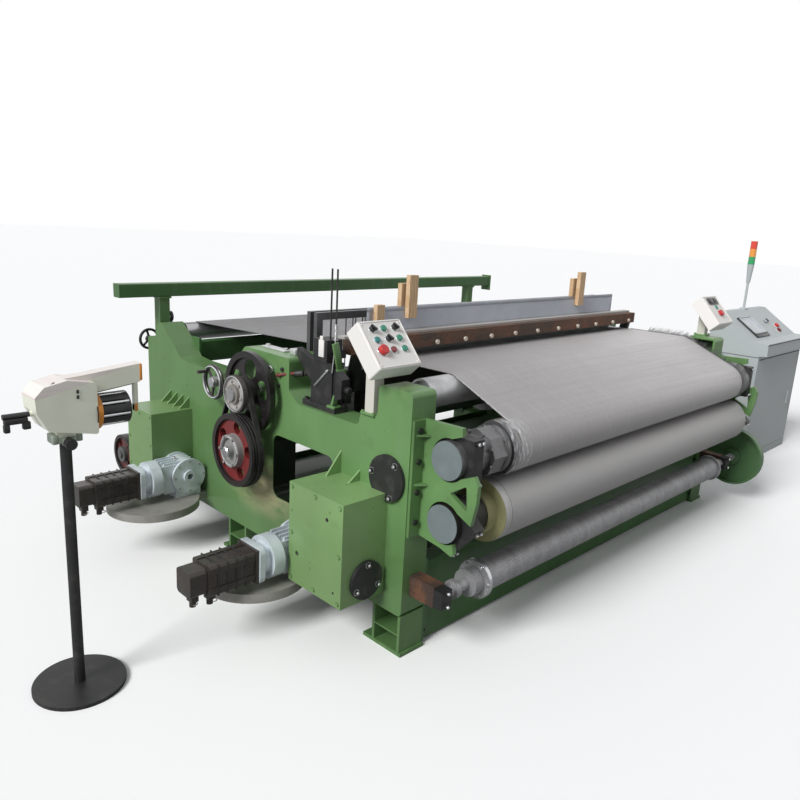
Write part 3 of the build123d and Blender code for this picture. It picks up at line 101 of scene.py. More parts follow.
# Shader maths as Python expressions
class Value:
    def __init__(self, paint, socket):
        self.paint = paint
        self.socket = socket

    def __add__(self, other):
        return self.paint.maths("ADD", self, other)

    def __sub__(self, other):
        return self.paint.maths("SUBTRACT", self, other)

    def __rsub__(self, other):
        return self.paint.maths("SUBTRACT", other, self)

    def __mul__(self, other):
        return self.paint.maths("MULTIPLY", self, other)

    def __pow__(self, other):
        return self.paint.maths("POWER", self, other)

    def __gt__(self, other):
        return self.paint.maths("GREATER_THAN", self, other)

    def __lt__(self, other):
        return self.paint.maths("LESS_THAN", self, other)


class Paint:
    """A material and the nodes that drive its Principled shader."""

    def __init__(self, name, rough=0.5, metal=0.0, coat=0.0, specular=0.5):
        self.material = bpy.data.materials.new(name)
        self.material.use_nodes = True
        self.nodes = self.material.node_tree.nodes
        self.links = self.material.node_tree.links
        self.shader = self.nodes["Principled BSDF"]
        self.shader.inputs["Roughness"].default_value = rough
        self.shader.inputs["Metallic"].default_value = metal
        self.shader.inputs["Coat Weight"].default_value = coat
        self.shader.inputs["Specular IOR Level"].default_value = specular
        self.place = self.node("ShaderNodeTexCoord", {}, (), "Object")

    def put(self, socket, value):
        if isinstance(value, Value):
            self.links.new(value.socket, socket)
        elif hasattr(value, "__len__") and len(value) == 3 and socket.type == "RGBA":
            socket.default_value = (*value, 1.0)
        else:
            socket.default_value = value

    def node(self, kind, settings, values=(), output=0):
        made = self.nodes.new(kind)
        for key, value in settings.items():
            setattr(made, key, value)
        pairs = values.items() if isinstance(values, dict) else enumerate(values)
        for key, value in pairs:
            self.put(made.inputs[key], value)
        return Value(self, made.outputs[output])

    def maths(self, operation, *values):
        return self.node("ShaderNodeMath", {"operation": operation}, values)

    def stretched(self, x, y, z):
        return self.node("ShaderNodeMapping", {}, {"Vector": self.place, "Scale": (x, y, z)})

    def scaled(self, lie, x, y):
        return self.node("ShaderNodeVectorMath", {"operation": "MULTIPLY"}, (lie, (x, y, 1.0)))

    def noise(self, scale, detail, vector=None):
        values = {"Vector": vector or self.place, "Scale": scale, "Detail": detail}
        return self.node("ShaderNodeTexNoise", {}, values, "Fac")

    def waves(self, axis, **values):
        return self.node("ShaderNodeTexWave", {"bands_direction": axis}, {"Vector": self.place, **values}, "Fac")

    def band(self, value, low, high):
        values = {"Value": value, "From Min": low, "From Max": high}
        return self.node("ShaderNodeMapRange", {"clamp": True}, values)

    def mix(self, share, first, second):
        values = {"Factor": share, 6: first, 7: second}
        return self.node("ShaderNodeMix", {"data_type": "RGBA"}, values, 2)

    def layers(self, tone, *rows):
        """Colours laid over a tone: (pattern, low, high, share, colour), most where the pattern is high."""
        for pattern, low, high, share, colour in rows:
            tone = self.mix(self.band(pattern, low, high) * share, tone, colour)
        return tone

    def axes(self, lie=None):
        split = self.nodes.new("ShaderNodeSeparateXYZ")
        self.put(split.inputs[0], lie or self.place)
        return [Value(self, o) for o in split.outputs]

    def bump(self, height, strength, distance):
        values = {"Strength": strength, "Distance": distance, "Height": height}
        return self.node("ShaderNodeBump", {}, values)

    def finish(self, colour, rough=None, normal=None, **others):
        self.put(self.shader.inputs["Base Color"], colour)
        if rough is not None:
            self.put(self.shader.inputs["Roughness"], rough)
        if normal is not None:
            self.put(self.shader.inputs["Normal"], normal)
        for name, value in others.items():
            self.put(self.shader.inputs[name.replace("_", " ").title()], value)
        return self.material


def darker(colour, share):
    return tuple(c * share for c in colour)


def held_band(value, low, high):
    """1 between low and high, 0 elsewhere."""
    return (value > low) * (value < high)


def enamel(name, colour, rough=0.38, worn=0.5):
    """Brushed-on machine enamel over cast plate, with dust, runs and small chips."""
    p = Paint(name, rough, coat=0.15)
    cloud = p.noise(2.6, 3.0)
    streak = p.noise(5.0, 4.0, p.stretched(6, 6, 0.7))
    speck = p.noise(55.0, 3.0)
    tone = p.mix(p.band(cloud, 0.35, 0.7), darker(colour, 0.86), darker(colour, 1.12))
    dust = tuple(0.75 * c + 0.25 * 0.45 for c in colour)
    tone = p.layers(tone, (streak, 0.55, 0.8, 0.35 * worn, dust))
    chip = p.band(p.noise(24.0, 4.0), 0.70, 0.73) * worn
    tone = p.mix(chip, tone, darker(colour, 0.45))
    grime = p.band(p.noise(9.0, 3.0), 0.58, 0.75) * 0.4 * worn
    tone = p.mix(grime, tone, darker(colour, 0.6))
    gloss = p.band(cloud, 0.3, 0.8) * 0.12 + rough + chip * 0.2
    skin = p.bump(speck + cloud * 0.5, 0.12, 0.0015)
    return p.finish(tone, gloss, skin)


def turned_steel(name, colour, rough=0.28, tarnish=0.35):
    """Turned or ground steel, with fine tool lines round the part and patchy oil."""
    p = Paint(name, rough, metal=0.9)
    tool = p.noise(6.0, 4.0, p.stretched(*TOOL_LINES))
    patch = p.noise(7.0, 3.0)
    tone = p.mix(p.band(patch, 0.4, 0.75) * tarnish, colour, darker(colour, 0.5))
    tone = p.layers(tone, (tool, 0.3, 0.8, 0.3, darker(colour, 0.75)))
    return p.finish(tone, tool * 0.18 + rough, p.bump(tool, 0.1, 0.0006))


def cast_grey(name, colour, rough=0.5, metal=0.55):
    """Sand-cast and painted aluminium: grain, soft stains."""
    p = Paint(name, rough, metal=metal)
    grain = p.noise(140.0, 3.0)
    stain = p.noise(14.0, 4.0)
    tone = p.mix(p.band(stain, 0.45, 0.75) * 0.6, colour, darker(colour, 0.55))
    tone = p.layers(tone, (grain, 0.55, 0.8, 0.2, darker(colour, 1.25)))
    return p.finish(tone, stain * 0.25 + rough - 0.1, p.bump(grain, 0.25, 0.001))


def blackened(name, colour=(0.02, 0.02, 0.021), rough=0.42, metal=0.2, dusty=0.4):
    """Black oxide or black paint with grey dust in the hollows."""
    p = Paint(name, rough, metal=metal)
    dust = p.noise(18.0, 4.0)
    fine = p.noise(120.0, 2.0)
    tone = p.mix(p.band(dust, 0.5, 0.8) * dusty, colour, (0.10, 0.095, 0.085))
    return p.finish(tone, dust * 0.3 + rough - 0.1, p.bump(fine, 0.12, 0.0008))


def rubber(name):
    p = Paint(name, 0.7)
    ribs = p.waves("X", Scale=60.0, Distortion=0.3)
    dust = p.noise(30.0, 3.0)
    tone = p.mix(p.band(dust, 0.4, 0.8) * 0.5, (0.012, 0.012, 0.012), (0.06, 0.055, 0.05))
    return p.finish(tone, dust * 0.2 + 0.55, p.bump(ribs, 0.3, 0.001))


def rusty(name, colour):
    """Mill scale gone brown, with orange rust blooms and bare rubbed spots."""
    p = Paint(name, 0.65, metal=0.35)
    bloom = p.noise(11.0, 5.0)
    fine = p.noise(90.0, 4.0)
    rub = p.noise(4.0, 3.0, p.stretched(0.6, 4, 4))
    tone = p.mix(p.band(bloom, 0.45, 0.7), colour, (0.19, 0.085, 0.045))
    tone = p.layers(
        tone,
        (fine, 0.5, 0.75, 0.6, (0.035, 0.026, 0.022)),
        (rub, 0.6, 0.8, 0.5, (0.30, 0.26, 0.23)),
    )
    return p.finish(tone, fine * 0.3 + 0.5, p.bump(fine + bloom, 0.4, 0.0015))


def powder_coat(name, colour):
    rough = 0.42
    p = Paint(name, rough)
    peel = p.noise(260.0, 2.0)
    cloud = p.noise(3.0, 3.0)
    tone = p.mix(p.band(cloud, 0.3, 0.8), darker(colour, 0.95), colour)
    tone = p.layers(tone, (p.noise(10.0, 4.0), 0.6, 0.8, 0.25, darker(colour, 0.8)))
    return p.finish(tone, cloud * 0.1 + rough, p.bump(peel, 0.08, 0.0006))


def moulded(name, colour):
    rough = 0.3
    p = Paint(name, rough, coat=0.2)
    cloud = p.noise(25.0, 2.0)
    tone = p.mix(p.band(cloud, 0.3, 0.8), darker(colour, 0.88), colour)
    return p.finish(tone, cloud * 0.12 + rough, p.bump(p.noise(400.0, 1.0), 0.05, 0.0004))


def pine(name):
    """Raw pine board: long grain, rings and a few darker stains."""
    p = Paint(name, 0.6)
    grain = p.noise(9.0, 5.0, p.stretched(14, 14, 1.2))
    ring = p.waves("X", Scale=18.0, Distortion=6.0, Detail=3.0)
    tone = p.mix(p.band(ring, 0.2, 0.9) * 0.6, (0.66, 0.47, 0.29), (0.48, 0.29, 0.14))
    tone = p.layers(tone, (grain, 0.5, 0.8, 0.6, (0.38, 0.21, 0.10)))
    return p.finish(tone, grain * 0.2 + 0.5, p.bump(grain + ring, 0.25, 0.001))


def wire_cloth(p, across, along):
    """Height of a plain weave: two sets of round wires that pass over and under by turns."""
    turn = 2 * math.pi / WIRE_PITCH
    return p.maths("SINE", across * turn) * p.maths("SINE", along * turn)


def mesh_paint(name, along, base=(0.50, 0.49, 0.50), dark=(0.22, 0.21, 0.22)):
    """Wire cloth on a part: along gives the way round or down it in metres."""
    p = Paint(name, 0.42, metal=0.7)
    x, y = p.axes()[0], along(p)
    weave = wire_cloth(p, x, y)
    lie = p.node("ShaderNodeCombineXYZ", {}, (x, y, 0.0))
    bars = p.noise(26.0, 3.0, p.scaled(lie, 0.12, 2.0))
    reams = p.noise(30.0, 3.0, p.scaled(lie, 3.0, 0.15))
    cloud = p.noise(3.2, 4.0, lie)
    mottle = p.noise(46.0, 4.0, lie)
    tone = p.mix(p.band(weave, -0.6, 0.7), dark, base)
    tone = p.layers(
        tone,
        (bars, 0.42, 0.72, 0.35, darker(base, 0.62)),
        (reams, 0.5, 0.75, 0.22, darker(base, 1.35)),
        (cloud, 0.5, 0.8, 0.3, darker(base, 0.6)),
        (mottle, 0.55, 0.75, 0.25, darker(base, 0.5)),
    )
    return p.finish(tone, bars * 0.2 + 0.34, p.bump(weave + bars * 2.0, 0.35, 0.0012))


def roll_along(y0, z0, radius):
    centre = at(0, y0, z0)

    def along(p):
        _, y, z = p.axes()
        return p.maths("ARCTAN2", z - centre.z, y - centre.y) * radius

    return along


def emery(name):
    """Grit-covered take-up roller."""
    p = Paint(name, 0.6, metal=0.5)
    grit = p.noise(420.0, 2.0)
    wound = p.noise(20.0, 3.0, p.stretched(1.2, 0.3, 0.3))
    cloud = p.noise(9.0, 4.0)
    tone = p.mix(p.band(grit, 0.35, 0.65), (0.15, 0.15, 0.152), (0.52, 0.52, 0.53))
    tone = p.layers(
        tone,
        (wound, 0.4, 0.7, 0.4, (0.18, 0.18, 0.185)),
        (cloud, 0.5, 0.75, 0.3, (0.60, 0.60, 0.61)),
    )
    return p.finish(tone, grit * 0.25 + 0.4, p.bump(grit, 0.5, 0.001))


def lamp_paint(name):
    """Pilot lamps: green or teal by the column they stand in, one dark red."""
    p = Paint(name, 0.2, coat=0.4)
    x, _, z = p.axes()
    left = at(25 - 29, 0, 0).x
    low = held_band(x, at(0, 0, 0).x, at(50, 0, 0).x) * (z < 1.247)
    tone = p.mix(x < left, (0.01, 0.24, 0.15), (0.0, 0.20, 0.19))
    tone = p.mix(low, tone, (0.22, 0.012, 0.014))
    tone = p.mix(p.noise(90.0, 2.0) * 0.3, tone, (0.0, 0.05, 0.045))
    return p.finish(tone, p.noise(60.0, 2.0) * 0.1 + 0.15)


def tower_paint(name):
    """Signal tower lenses from the bottom: green, orange, red."""
    p = Paint(name, 0.18, coat=0.5)
    z = p.axes()[2]
    tone = p.mix(z > TOWER_FOOT + LENS_HIGH, (0.03, 0.35, 0.12), (0.85, 0.32, 0.05))
    tone = p.mix(z > TOWER_FOOT + 2 * LENS_HIGH, tone, (0.72, 0.05, 0.03))
    ribs = p.waves("Z", Scale=90.0)
    return p.finish(tone, ribs * 0.1 + 0.15, p.bump(ribs, 0.2, 0.001))


def screen_paint(name):
    p = Paint(name, 0.12, coat=0.6)
    smear = p.noise(16.0, 4.0)
    tone = p.mix(p.band(smear, 0.4, 0.8), (0.34, 0.38, 0.43), (0.52, 0.56, 0.60))
    return p.finish(tone, smear * 0.2 + 0.08)


# Finishes that change with the place on a part
def ring_distance(p, y0, z0):
    """Distance from an axis that runs across the machine."""
    centre = at(0, y0, z0)
    _, y, z = p.axes()
    return ((y - centre.y) ** 2.0 + (z - centre.z) ** 2.0) ** 0.5


def frame_enamel(name, colour, oily):
    """Frame enamel with oil runs under the red wheel, dust on ledges and rubbed corners; painted shade darkens it
    towards the bottom and the rear and makes the inner faces of the window opening near black.
    """
    p = Paint(name, 0.36, coat=0.2, specular=0.4)
    x, y, z = p.axes()
    cloud = p.noise(2.2, 3.0)
    wide = p.noise(0.9, 2.0)
    streak = p.noise(4.0, 4.0, p.stretched(5, 5, 0.5))
    tone = p.mix(p.band(cloud, 0.35, 0.7), darker(colour, 0.84), darker(colour, 1.1))
    tone = p.layers(tone, (wide, 0.4, 0.65, 0.35, darker(colour, 1.22)))
    dusty = tuple(0.8 * c + 0.2 * 0.40 for c in colour)
    tone = p.layers(tone, (streak, 0.52, 0.8, 0.3, dusty))
    if oily:
        spot = at(0, 960, 430)
        away = (((y - spot.y) * 0.62) ** 2.0 + ((z - spot.z) * 1.25) ** 2.0) ** 0.5
        torn = p.noise(7.0, 4.0, p.stretched(1, 1, 2.2))
        stain = p.band(away + torn * 0.16, 0.30, 0.13) * (x < at(2, 0, 0).x)
        tone = p.mix(stain * p.band(torn, 0.30, 0.52), tone, (0.50, 0.44, 0.25))
        tone = p.mix(stain * p.band(torn, 0.56, 0.66) * 0.8, tone, (0.20, 0.24, 0.07))
    chip = p.band(p.noise(26.0, 4.0), 0.70, 0.73)
    tone = p.mix(chip * 0.7, tone, darker(colour, 0.45))
    grime = p.band(p.noise(8.0, 3.0), 0.60, 0.78) * 0.35
    tone = p.mix(grime, tone, darker(colour, 0.55))
    low = p.band(z, 0.22, 0.02) * p.band(streak, 0.35, 0.7)
    tone = p.mix(low * 0.5, tone, darker(colour, 0.5))
    # Painted shade: darker towards the bottom and towards the rear of the frame
    tone = p.layers(
        tone,
        (z, 0.75, 0.25, 0.4, darker(colour, 0.55)),
        (y, -0.1, 0.5, 0.4, darker(colour, 0.55)),
    )
    # Painted shade: the inner faces of the window opening near black, the outer faces left as they are
    reveal_shade = held_band(z, 0.40, 0.74) * held_band(y, at(0, 425, 0).y, at(0, 895, 0).y)
    tone = p.mix(reveal_shade * (x > at(4, 0, 0).x) * (x < at(2861, 0, 0).x), tone, (0.010, 0.018, 0.009))
    skin = p.bump(p.noise(60.0, 3.0) + cloud * 0.5, 0.12, 0.0015)
    return p.finish(tone, p.band(cloud, 0.3, 0.8) * 0.14 + 0.32 + chip * 0.2, skin)


def bracket_enamel(name):
    """Bracket plate in frame green, its flange darker, the flange bolts black."""
    p = Paint(name, 0.38, coat=0.15, specular=0.4)
    x, y, z = p.axes()
    cloud = p.noise(6.0, 3.0)
    tone = p.mix(p.band(cloud, 0.35, 0.7), darker(GREEN, 0.8), darker(GREEN, 1.15))
    bolt = y < at(0, -12.5, 0).y
    flange = p.maths("MAXIMUM", x < at(64, 0, 0).x, x > at(2801, 0, 0).x)
    gusset = held_band(z, 0.927, 0.937) + held_band(z, 0.731, 0.742)
    tone = p.mix(flange * 0.25, tone, darker(GREEN, 0.4))
    tone = p.mix(flange * bolt * (1 - gusset), tone, (0.015, 0.015, 0.015))
    tone = p.layers(tone, (p.noise(16.0, 4.0), 0.6, 0.75, 0.5, darker(GREEN, 0.35)))
    return p.finish(tone, cloud * 0.15 + 0.3, p.bump(p.noise(70.0, 3.0), 0.12, 0.0012))


def wheel_paint(name, axle, bands, rough=0.4):
    """A wheel painted in rings from the hub outwards: (outer radius, colour) pairs."""
    p = Paint(name, rough, coat=0.1)
    away = ring_distance(p, *axle)
    tone = p.mix(p.noise(30.0, 3.0), bands[0][1], darker(bands[0][1], 0.7))
    for (edge, _), (_, colour) in zip(bands, bands[1:]):
        worn = p.mix(p.noise(22.0, 4.0), colour, darker(colour, 0.55))
        tone = p.mix(away > edge, tone, worn)
    tone = p.layers(tone, (p.noise(14.0, 4.0), 0.60, 0.8, 0.22, (0.13, 0.11, 0.10)))
    return p.finish(tone, p.noise(40.0, 2.0) * 0.25 + rough - 0.1, p.bump(p.noise(110.0, 3.0), 0.15, 0.001))


def wound_roll(name, y0, z0, radius, start, end, base, bare):
    """Cloth between start and end, bare turned steel beyond, a blue-grey cut journal face."""
    p = Paint(name, 0.4, metal=0.7)
    x = p.axes()[0]
    along = roll_along(y0, z0, radius)(p)
    cloth = p.maths("MULTIPLY", x > at(start, 0, 0).x, x < at(end, 0, 0).x)
    weave = wire_cloth(p, x, along)
    lie = p.node("ShaderNodeCombineXYZ", {}, (x, along, 0.0))
    bars = p.noise(26.0, 3.0, p.scaled(lie, 0.10, 2.2))
    reams = p.noise(30.0, 3.0, p.scaled(lie, 3.0, 0.15))
    mottle = p.noise(38.0, 4.0, lie)
    grain = p.noise(210.0, 2.0, lie)
    tone = p.mix(p.band(weave, -0.6, 0.7), darker(base, 0.55), base)
    tone = p.layers(
        tone,
        (grain, 0.42, 0.66, 0.4, darker(base, 0.55)),
        (bars, 0.40, 0.70, 0.4, darker(base, 0.55)),
        (reams, 0.5, 0.75, 0.25, darker(base, 1.35)),
        (mottle, 0.55, 0.75, 0.3, darker(base, 0.5)),
    )
    tool = p.noise(6.0, 4.0, p.stretched(*TOOL_LINES))
    ground = p.layers(
        bare,
        (tool, 0.35, 0.75, 0.5, darker(bare, 0.55)),
        (p.noise(12.0, 4.0), 0.55, 0.75, 0.5, (0.14, 0.12, 0.10)),
    )
    tone = p.mix(cloth, ground, tone)
    face = p.maths("MAXIMUM", x < at(53, 0, 0).x, x > at(2812, 0, 0).x)
    tone = p.mix(face, tone, p.mix(p.noise(16.0, 3.0), (0.12, 0.15, 0.155), (0.20, 0.235, 0.245)))
    height = weave * cloth + bars * 2.0 * cloth + tool * 0.4
    return p.finish(tone, bars * 0.2 + 0.34 + face * 0.2, p.bump(height, 0.35, 0.0012), metallic=0.7 - face * 0.6)


def cloth_paint(name, base):
    """Woven wire cloth on its own UV map: u across, v along the run, both in metres; painted shade darkens it where
    it slopes down and turns round the breast roll.
    """
    p = Paint(name, 0.42, metal=0.65)
    lie = p.node("ShaderNodeUVMap", {"uv_map": "weave"})
    x, run, _ = p.axes(lie)
    weave = wire_cloth(p, x, run)
    bars = p.noise(26.0, 3.0, p.scaled(lie, 0.05, 1.7))
    reams = p.noise(30.0, 3.0, p.scaled(lie, 2.2, 0.12))
    cloud = p.noise(2.6, 4.0, lie)
    mottle = p.noise(52.0, 4.0, lie)
    grain = p.noise(210.0, 2.0, lie)
    tone = p.mix(p.band(weave, -0.6, 0.7), darker(base, 0.6), base)
    tone = p.layers(
        tone,
        (grain, 0.42, 0.66, 0.4, darker(base, 0.6)),
        (x, 0.35, 1.9, 0.55, darker(base, 1.45)),
        # Painted shade: darker along the run where the cloth slopes down to the breast roll and turns round its
        # front
        (run, 0.45, 0.95, 0.45, darker(base, 0.72)),
        (bars, 0.42, 0.72, 0.22, darker(base, 0.62)),
        (reams, 0.5, 0.75, 0.16, darker(base, 1.4)),
        (cloud, 0.5, 0.8, 0.25, (0.36, 0.33, 0.31)),
        (mottle, 0.57, 0.75, 0.35, darker(base, 0.55)),
    )
    return p.finish(tone, bars * 0.2 + 0.36, p.bump(weave + bars * 1.5, 0.35, 0.0012))


def cap_bar_paint(name):
    """Rust-brown bar, its bolt heads rubbed bright."""
    p = Paint(name, 0.62, metal=0.35)
    _, y, z = p.axes()
    bloom = p.noise(9.0, 5.0)
    fine = p.noise(90.0, 4.0)
    rub = p.noise(3.0, 3.0, p.stretched(0.5, 4, 4))
    tone = p.mix(p.band(bloom, 0.42, 0.68), (0.075, 0.050, 0.038), (0.16, 0.070, 0.038))
    tone = p.layers(
        tone,
        (fine, 0.5, 0.75, 0.6, (0.03, 0.022, 0.018)),
        (rub, 0.58, 0.8, 0.45, (0.20, 0.16, 0.13)),
    )
    tone = p.mix(z > 1.1965, tone, (0.46, 0.44, 0.42))
    tone = p.mix(y < at(0, 547.5, 0).y, tone, (0.62, 0.56, 0.47))
    return p.finish(tone, fine * 0.3 + 0.5, p.bump(fine + bloom, 0.35, 0.0015))


def feeder_paint(name):
    """Pale moulded shell, rosy aluminium cover and arm above it, black lead tube."""
    p = Paint(name, 0.36, coat=0.2)
    x, _, z = p.axes()
    cloud = p.noise(12.0, 3.0)
    shell = p.mix(p.band(cloud, 0.3, 0.8), (0.78, 0.80, 0.66), (0.88, 0.89, 0.76))
    metal = p.mix(p.noise(5.0, 4.0, p.stretched(1, 1, 20)), (0.72, 0.62, 0.58), (0.90, 0.87, 0.83))
    slope = z - (x - at(-1080, 0, 0).x) * 0.22
    tone = p.mix(slope > 1.104, shell, metal)
    low = at(-1118, 0, 0).x
    tone = p.mix(x < low, tone, (0.015, 0.015, 0.016))
    tone = p.mix(p.band(z, 0.954, 0.950), tone, (0.50, 0.56, 0.47))
    return p.finish(tone, cloud * 0.12 + 0.28, p.bump(p.noise(300.0, 1.0), 0.05, 0.0004))


def clear_film(name):
    """Stretch film, mostly clear, with white creases that are partly painted highlight."""
    p = Paint(name, 0.12, coat=0.6)
    crease_and_highlight = p.noise(24.0, 5.0, p.stretched(3.0, 1.0, 1.0))
    p.material.surface_render_method = "BLENDED"
    # White creases: partly the film's own whitening, partly painted highlight
    tone = p.mix(p.band(crease_and_highlight, 0.45, 0.7), (0.62, 0.62, 0.64), (0.92, 0.92, 0.94))
    alpha = p.band(crease_and_highlight, 0.46, 0.70) * 0.60 + 0.16
    return p.finish(tone, crease_and_highlight * 0.15 + 0.05, p.bump(crease_and_highlight, 0.6, 0.004), alpha=alpha)


def dress_nodes():
    """Give each node its finish, and return the finishes of the pieces made here, most of them by slot."""
    plain = frame_enamel("plain_enamel", GREEN, False)
    black = blackened("black_steel")
    steel = turned_steel("turned_steel", (0.52, 0.52, 0.53))
    light = cast_grey("tube_steel", (0.60, 0.60, 0.61), 0.4)
    coat = powder_coat("cabinet_coat", (0.45, 0.485, 0.49))
    pendant = powder_coat("pendant_coat", (0.80, 0.78, 0.75))
    knob = moulded("button_black", (0.012, 0.012, 0.014))
    orange = moulded("feeder_ring", (0.66, 0.24, 0.02))
    red_bands = (0.079, (0.30, 0.30, 0.29)), (0.146, (0.20, 0.022, 0.022)), (1, (0.018, 0.013, 0.013))
    letoff_bands = (0.046, (0.10, 0.10, 0.10)), (0.090, (0.13, 0.03, 0.03)), (1, (0.03, 0.024, 0.023))
    fly_bands = (0.058, (0.05, 0.045, 0.042)), (0.158, (0.016, 0.012, 0.013)), (1, (0.012, 0.009, 0.010))
    clutch_bands = (0.045, (0.24, 0.22, 0.20)), (0.074, (0.46, 0.44, 0.42)), (1, (0.10, 0.09, 0.085))
    hand_bands = (0.030, (0.30, 0.29, 0.28)), (1, (0.05, 0.045, 0.042))
    for material, names in (
        (frame_enamel("frame_enamel", GREEN, True), "side_frame_left"),
        (plain, "side_frame_right top_beam_brackets"),
        (frame_enamel("box_enamel", BOX_GREEN, False), "takeup_box letoff_box drive_box_covers"),
        (enamel("beam_enamel", DARK_GREEN, worn=0.7), "cross_beams top_beam"),
        (bracket_enamel("bracket_enamel"), "roll_bracket_left roll_bracket_right"),
        (black, "bearing_caps tension_wheel insertion_unit flange_caps feeder_drum feeder_stand beam_lever"),
        (steel, "main_shaft reed back_roll"),
        (light, "guide_roller"),
        (cast_grey("heald_alloy", (0.12, 0.12, 0.125), 0.4), "heald_frame_front heald_frame_rear"),
        (cast_grey("gear_casting", (0.62, 0.68, 0.72), 0.45, 0.15), "worm_gearboxes"),
        (blackened("motor_black", (0.050, 0.043, 0.036), 0.24, 0.3, 0.5), "servo_motors"),
        (cast_grey("tray_steel", (0.34, 0.33, 0.30), 0.4, 0.3), "motor_shelves"),
        (rubber("belt_rubber"), "drive_belt"),
        (rusty("bearing_scale", (0.07, 0.045, 0.035)), "lower_roll_bearings"),
        (coat, "cabinet_body cabinet_door console_top"),
        (pendant, "pendant_left pendant_right"),
        (powder_coat("post_coat", (0.62, 0.60, 0.54)), "pendant_posts"),
        (knob, "button_a button_b button_c"),
        (moulded("button_red", (0.55, 0.018, 0.02)), "stop_button_left stop_button_right stop_button_console"),
        (orange, "feeder_disc"),
        (wound_roll("breast_skin", *BREAST, 352, 2605, (0.47, 0.445, 0.425), (0.20, 0.20, 0.205)), "breast_roll"),
        (wound_roll("middle_skin", *MIDDLE, 322, 2717, (0.56, 0.55, 0.545), (0.045, 0.045, 0.040)), "middle_roll"),
        (emery("lower_grit"), "lower_roll"),
        (enamel("disc_enamel", (0.07, 0.15, 0.06), worn=0.8), "brake_disc"),
        (mesh_paint("warp_beam_wound", roll_along(1765, 500, 0.185)), "warp_beam"),
        (mesh_paint("warp_skin", lambda p: p.axes()[1], (0.29, 0.29, 0.30)), "warp_sheet mesh_web"),
        (wheel_paint("fly_wheel_paint", MAIN, fly_bands, 0.3), "flywheel"),
        (wheel_paint("clutch_paint", MAIN, clutch_bands, 0.3), "shaft_pulley"),
        (wheel_paint("red_wheel_paint", RED, red_bands), "red_pulley"),
        (wheel_paint("let_wheel_paint", (2056, 346), letoff_bands), "letoff_wheel"),
        (wheel_paint("handwheel_paint", HAND, hand_bands, 0.25), "handwheel"),
        (blackened("sley_black", (0.016, 0.020, 0.014), 0.4, 0.2, 0.2), "sley"),
        (cap_bar_paint("cap_scale"), "sley_cap"),
        (pine("clamp_pine"), "wood_clamps"),
        (lamp_paint("lamp_lens"), "pendant_lamps"),
        (screen_paint("screen_glass"), "touch_screen"),
        (tower_paint("tower_lens"), "signal_lenses"),
        (feeder_paint("feeder_shell"), "feeder_body"),
    ):
        for name in names.split():
            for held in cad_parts[name].material_slots:
                held.material = material
    return {
        "oiled": turned_steel("oiled_steel", (0.22, 0.22, 0.225), 0.2),
        "chrome": turned_steel("chromed", (0.66, 0.67, 0.69), 0.16, 0.2),
        "frame_green": plain, "black_steel": black, "bright_steel": steel, "light": light, "cabinet_white": coat,
        "pendant_white": pendant, "button_black": knob, "feeder_orange": orange,
    }


# Pieces made here, in millimetres from the part's datum or from a face that carries them.
# Everything adds to one shape, until piece() takes it and starts the next.
DATUM = Matrix.Translation((DATUM_X, DATUM_Y, 0))
shape = bmesh.new()


def face_at(x, y, z, tilt=0, axis="X"):
    """A place and a tilt. On a sloping face x runs across the machine, y up the slope and z off the face."""
    return DATUM @ Matrix.Translation((x / 1000, y / 1000, z / 1000)) @ Matrix.Rotation(math.radians(tilt), 4, axis)


def round_edges(verts, edge):
    edges = {e for v in verts for e in v.link_edges if e.is_manifold and e.calc_face_angle() > 0.6}
    bmesh.ops.bevel(
        shape, geom=list(edges), offset=edge / 1000, affect="EDGES", segments=2, profile=0.5, material=-1
    )


def bar(x0, x1, y0, y1, z0, z1, edge=0.0, base=DATUM):
    low = Vector((x0, y0, z0)) / 1000
    high = Vector((x1, y1, z1)) / 1000
    place = base @ Matrix.Translation((low + high) / 2) @ Matrix.Diagonal((*(high - low), 1.0))
    made = bmesh.ops.create_cube(shape, size=1.0, matrix=place)["verts"]
    if edge:
        round_edges(made, edge)


def rod(start, end, radius, tip=None, sides=20, edge=0.0, base=DATUM):
    first = Vector(start) / 1000
    last = Vector(end) / 1000
    turn = (last - first).to_track_quat("Z", "Y").to_matrix().to_4x4()
    place = base @ Matrix.Translation((first + last) / 2) @ turn
    far = radius if tip is None else tip
    made = bmesh.ops.create_cone(
        shape, cap_ends=True, segments=sides, radius1=radius / 1000, radius2=far / 1000,
        depth=(last - first).length, matrix=place,
    )["verts"]
    if edge:
        round_edges(made, edge)


def turned(centre, axis, outline, base=DATUM, steps=40):
    """Spin a closed outline of (radius, height) pairs about an axis."""
    middle = base @ (Vector(centre) / 1000)
    lift = (base.to_3x3() @ Vector(axis)).normalized()
    side = lift.orthogonal().normalized()
    verts = [shape.verts.new(middle + side * (r / 1000) + lift * (h / 1000)) for r, h in outline]
    edges = [shape.edges.new((verts[i - 1], verts[i])) for i in range(len(verts))]
    bmesh.ops.spin(
        shape, geom=verts + edges, cent=middle, axis=lift, dvec=(0, 0, 0), angle=2 * math.pi, steps=steps,
        use_merge=True,
    )


def washer(centre, axis, inner, outer, low, high, base=DATUM, steps=40):
    turned(centre, axis, [(inner, low), (outer, low), (outer, high), (inner, high)], base, steps)


def circle(count, radius, x=0, y=0, start=0.0):
    """Points spaced evenly round a circle."""
    turns = [start + i * 2 * math.pi / count for i in range(count)]
    return [(x + radius * math.cos(a), y + radius * math.sin(a)) for a in turns]


def ring(centre, axis, radius, wire, steps=32):
    turned(centre, axis, circle(8, wire, radius), steps=steps)


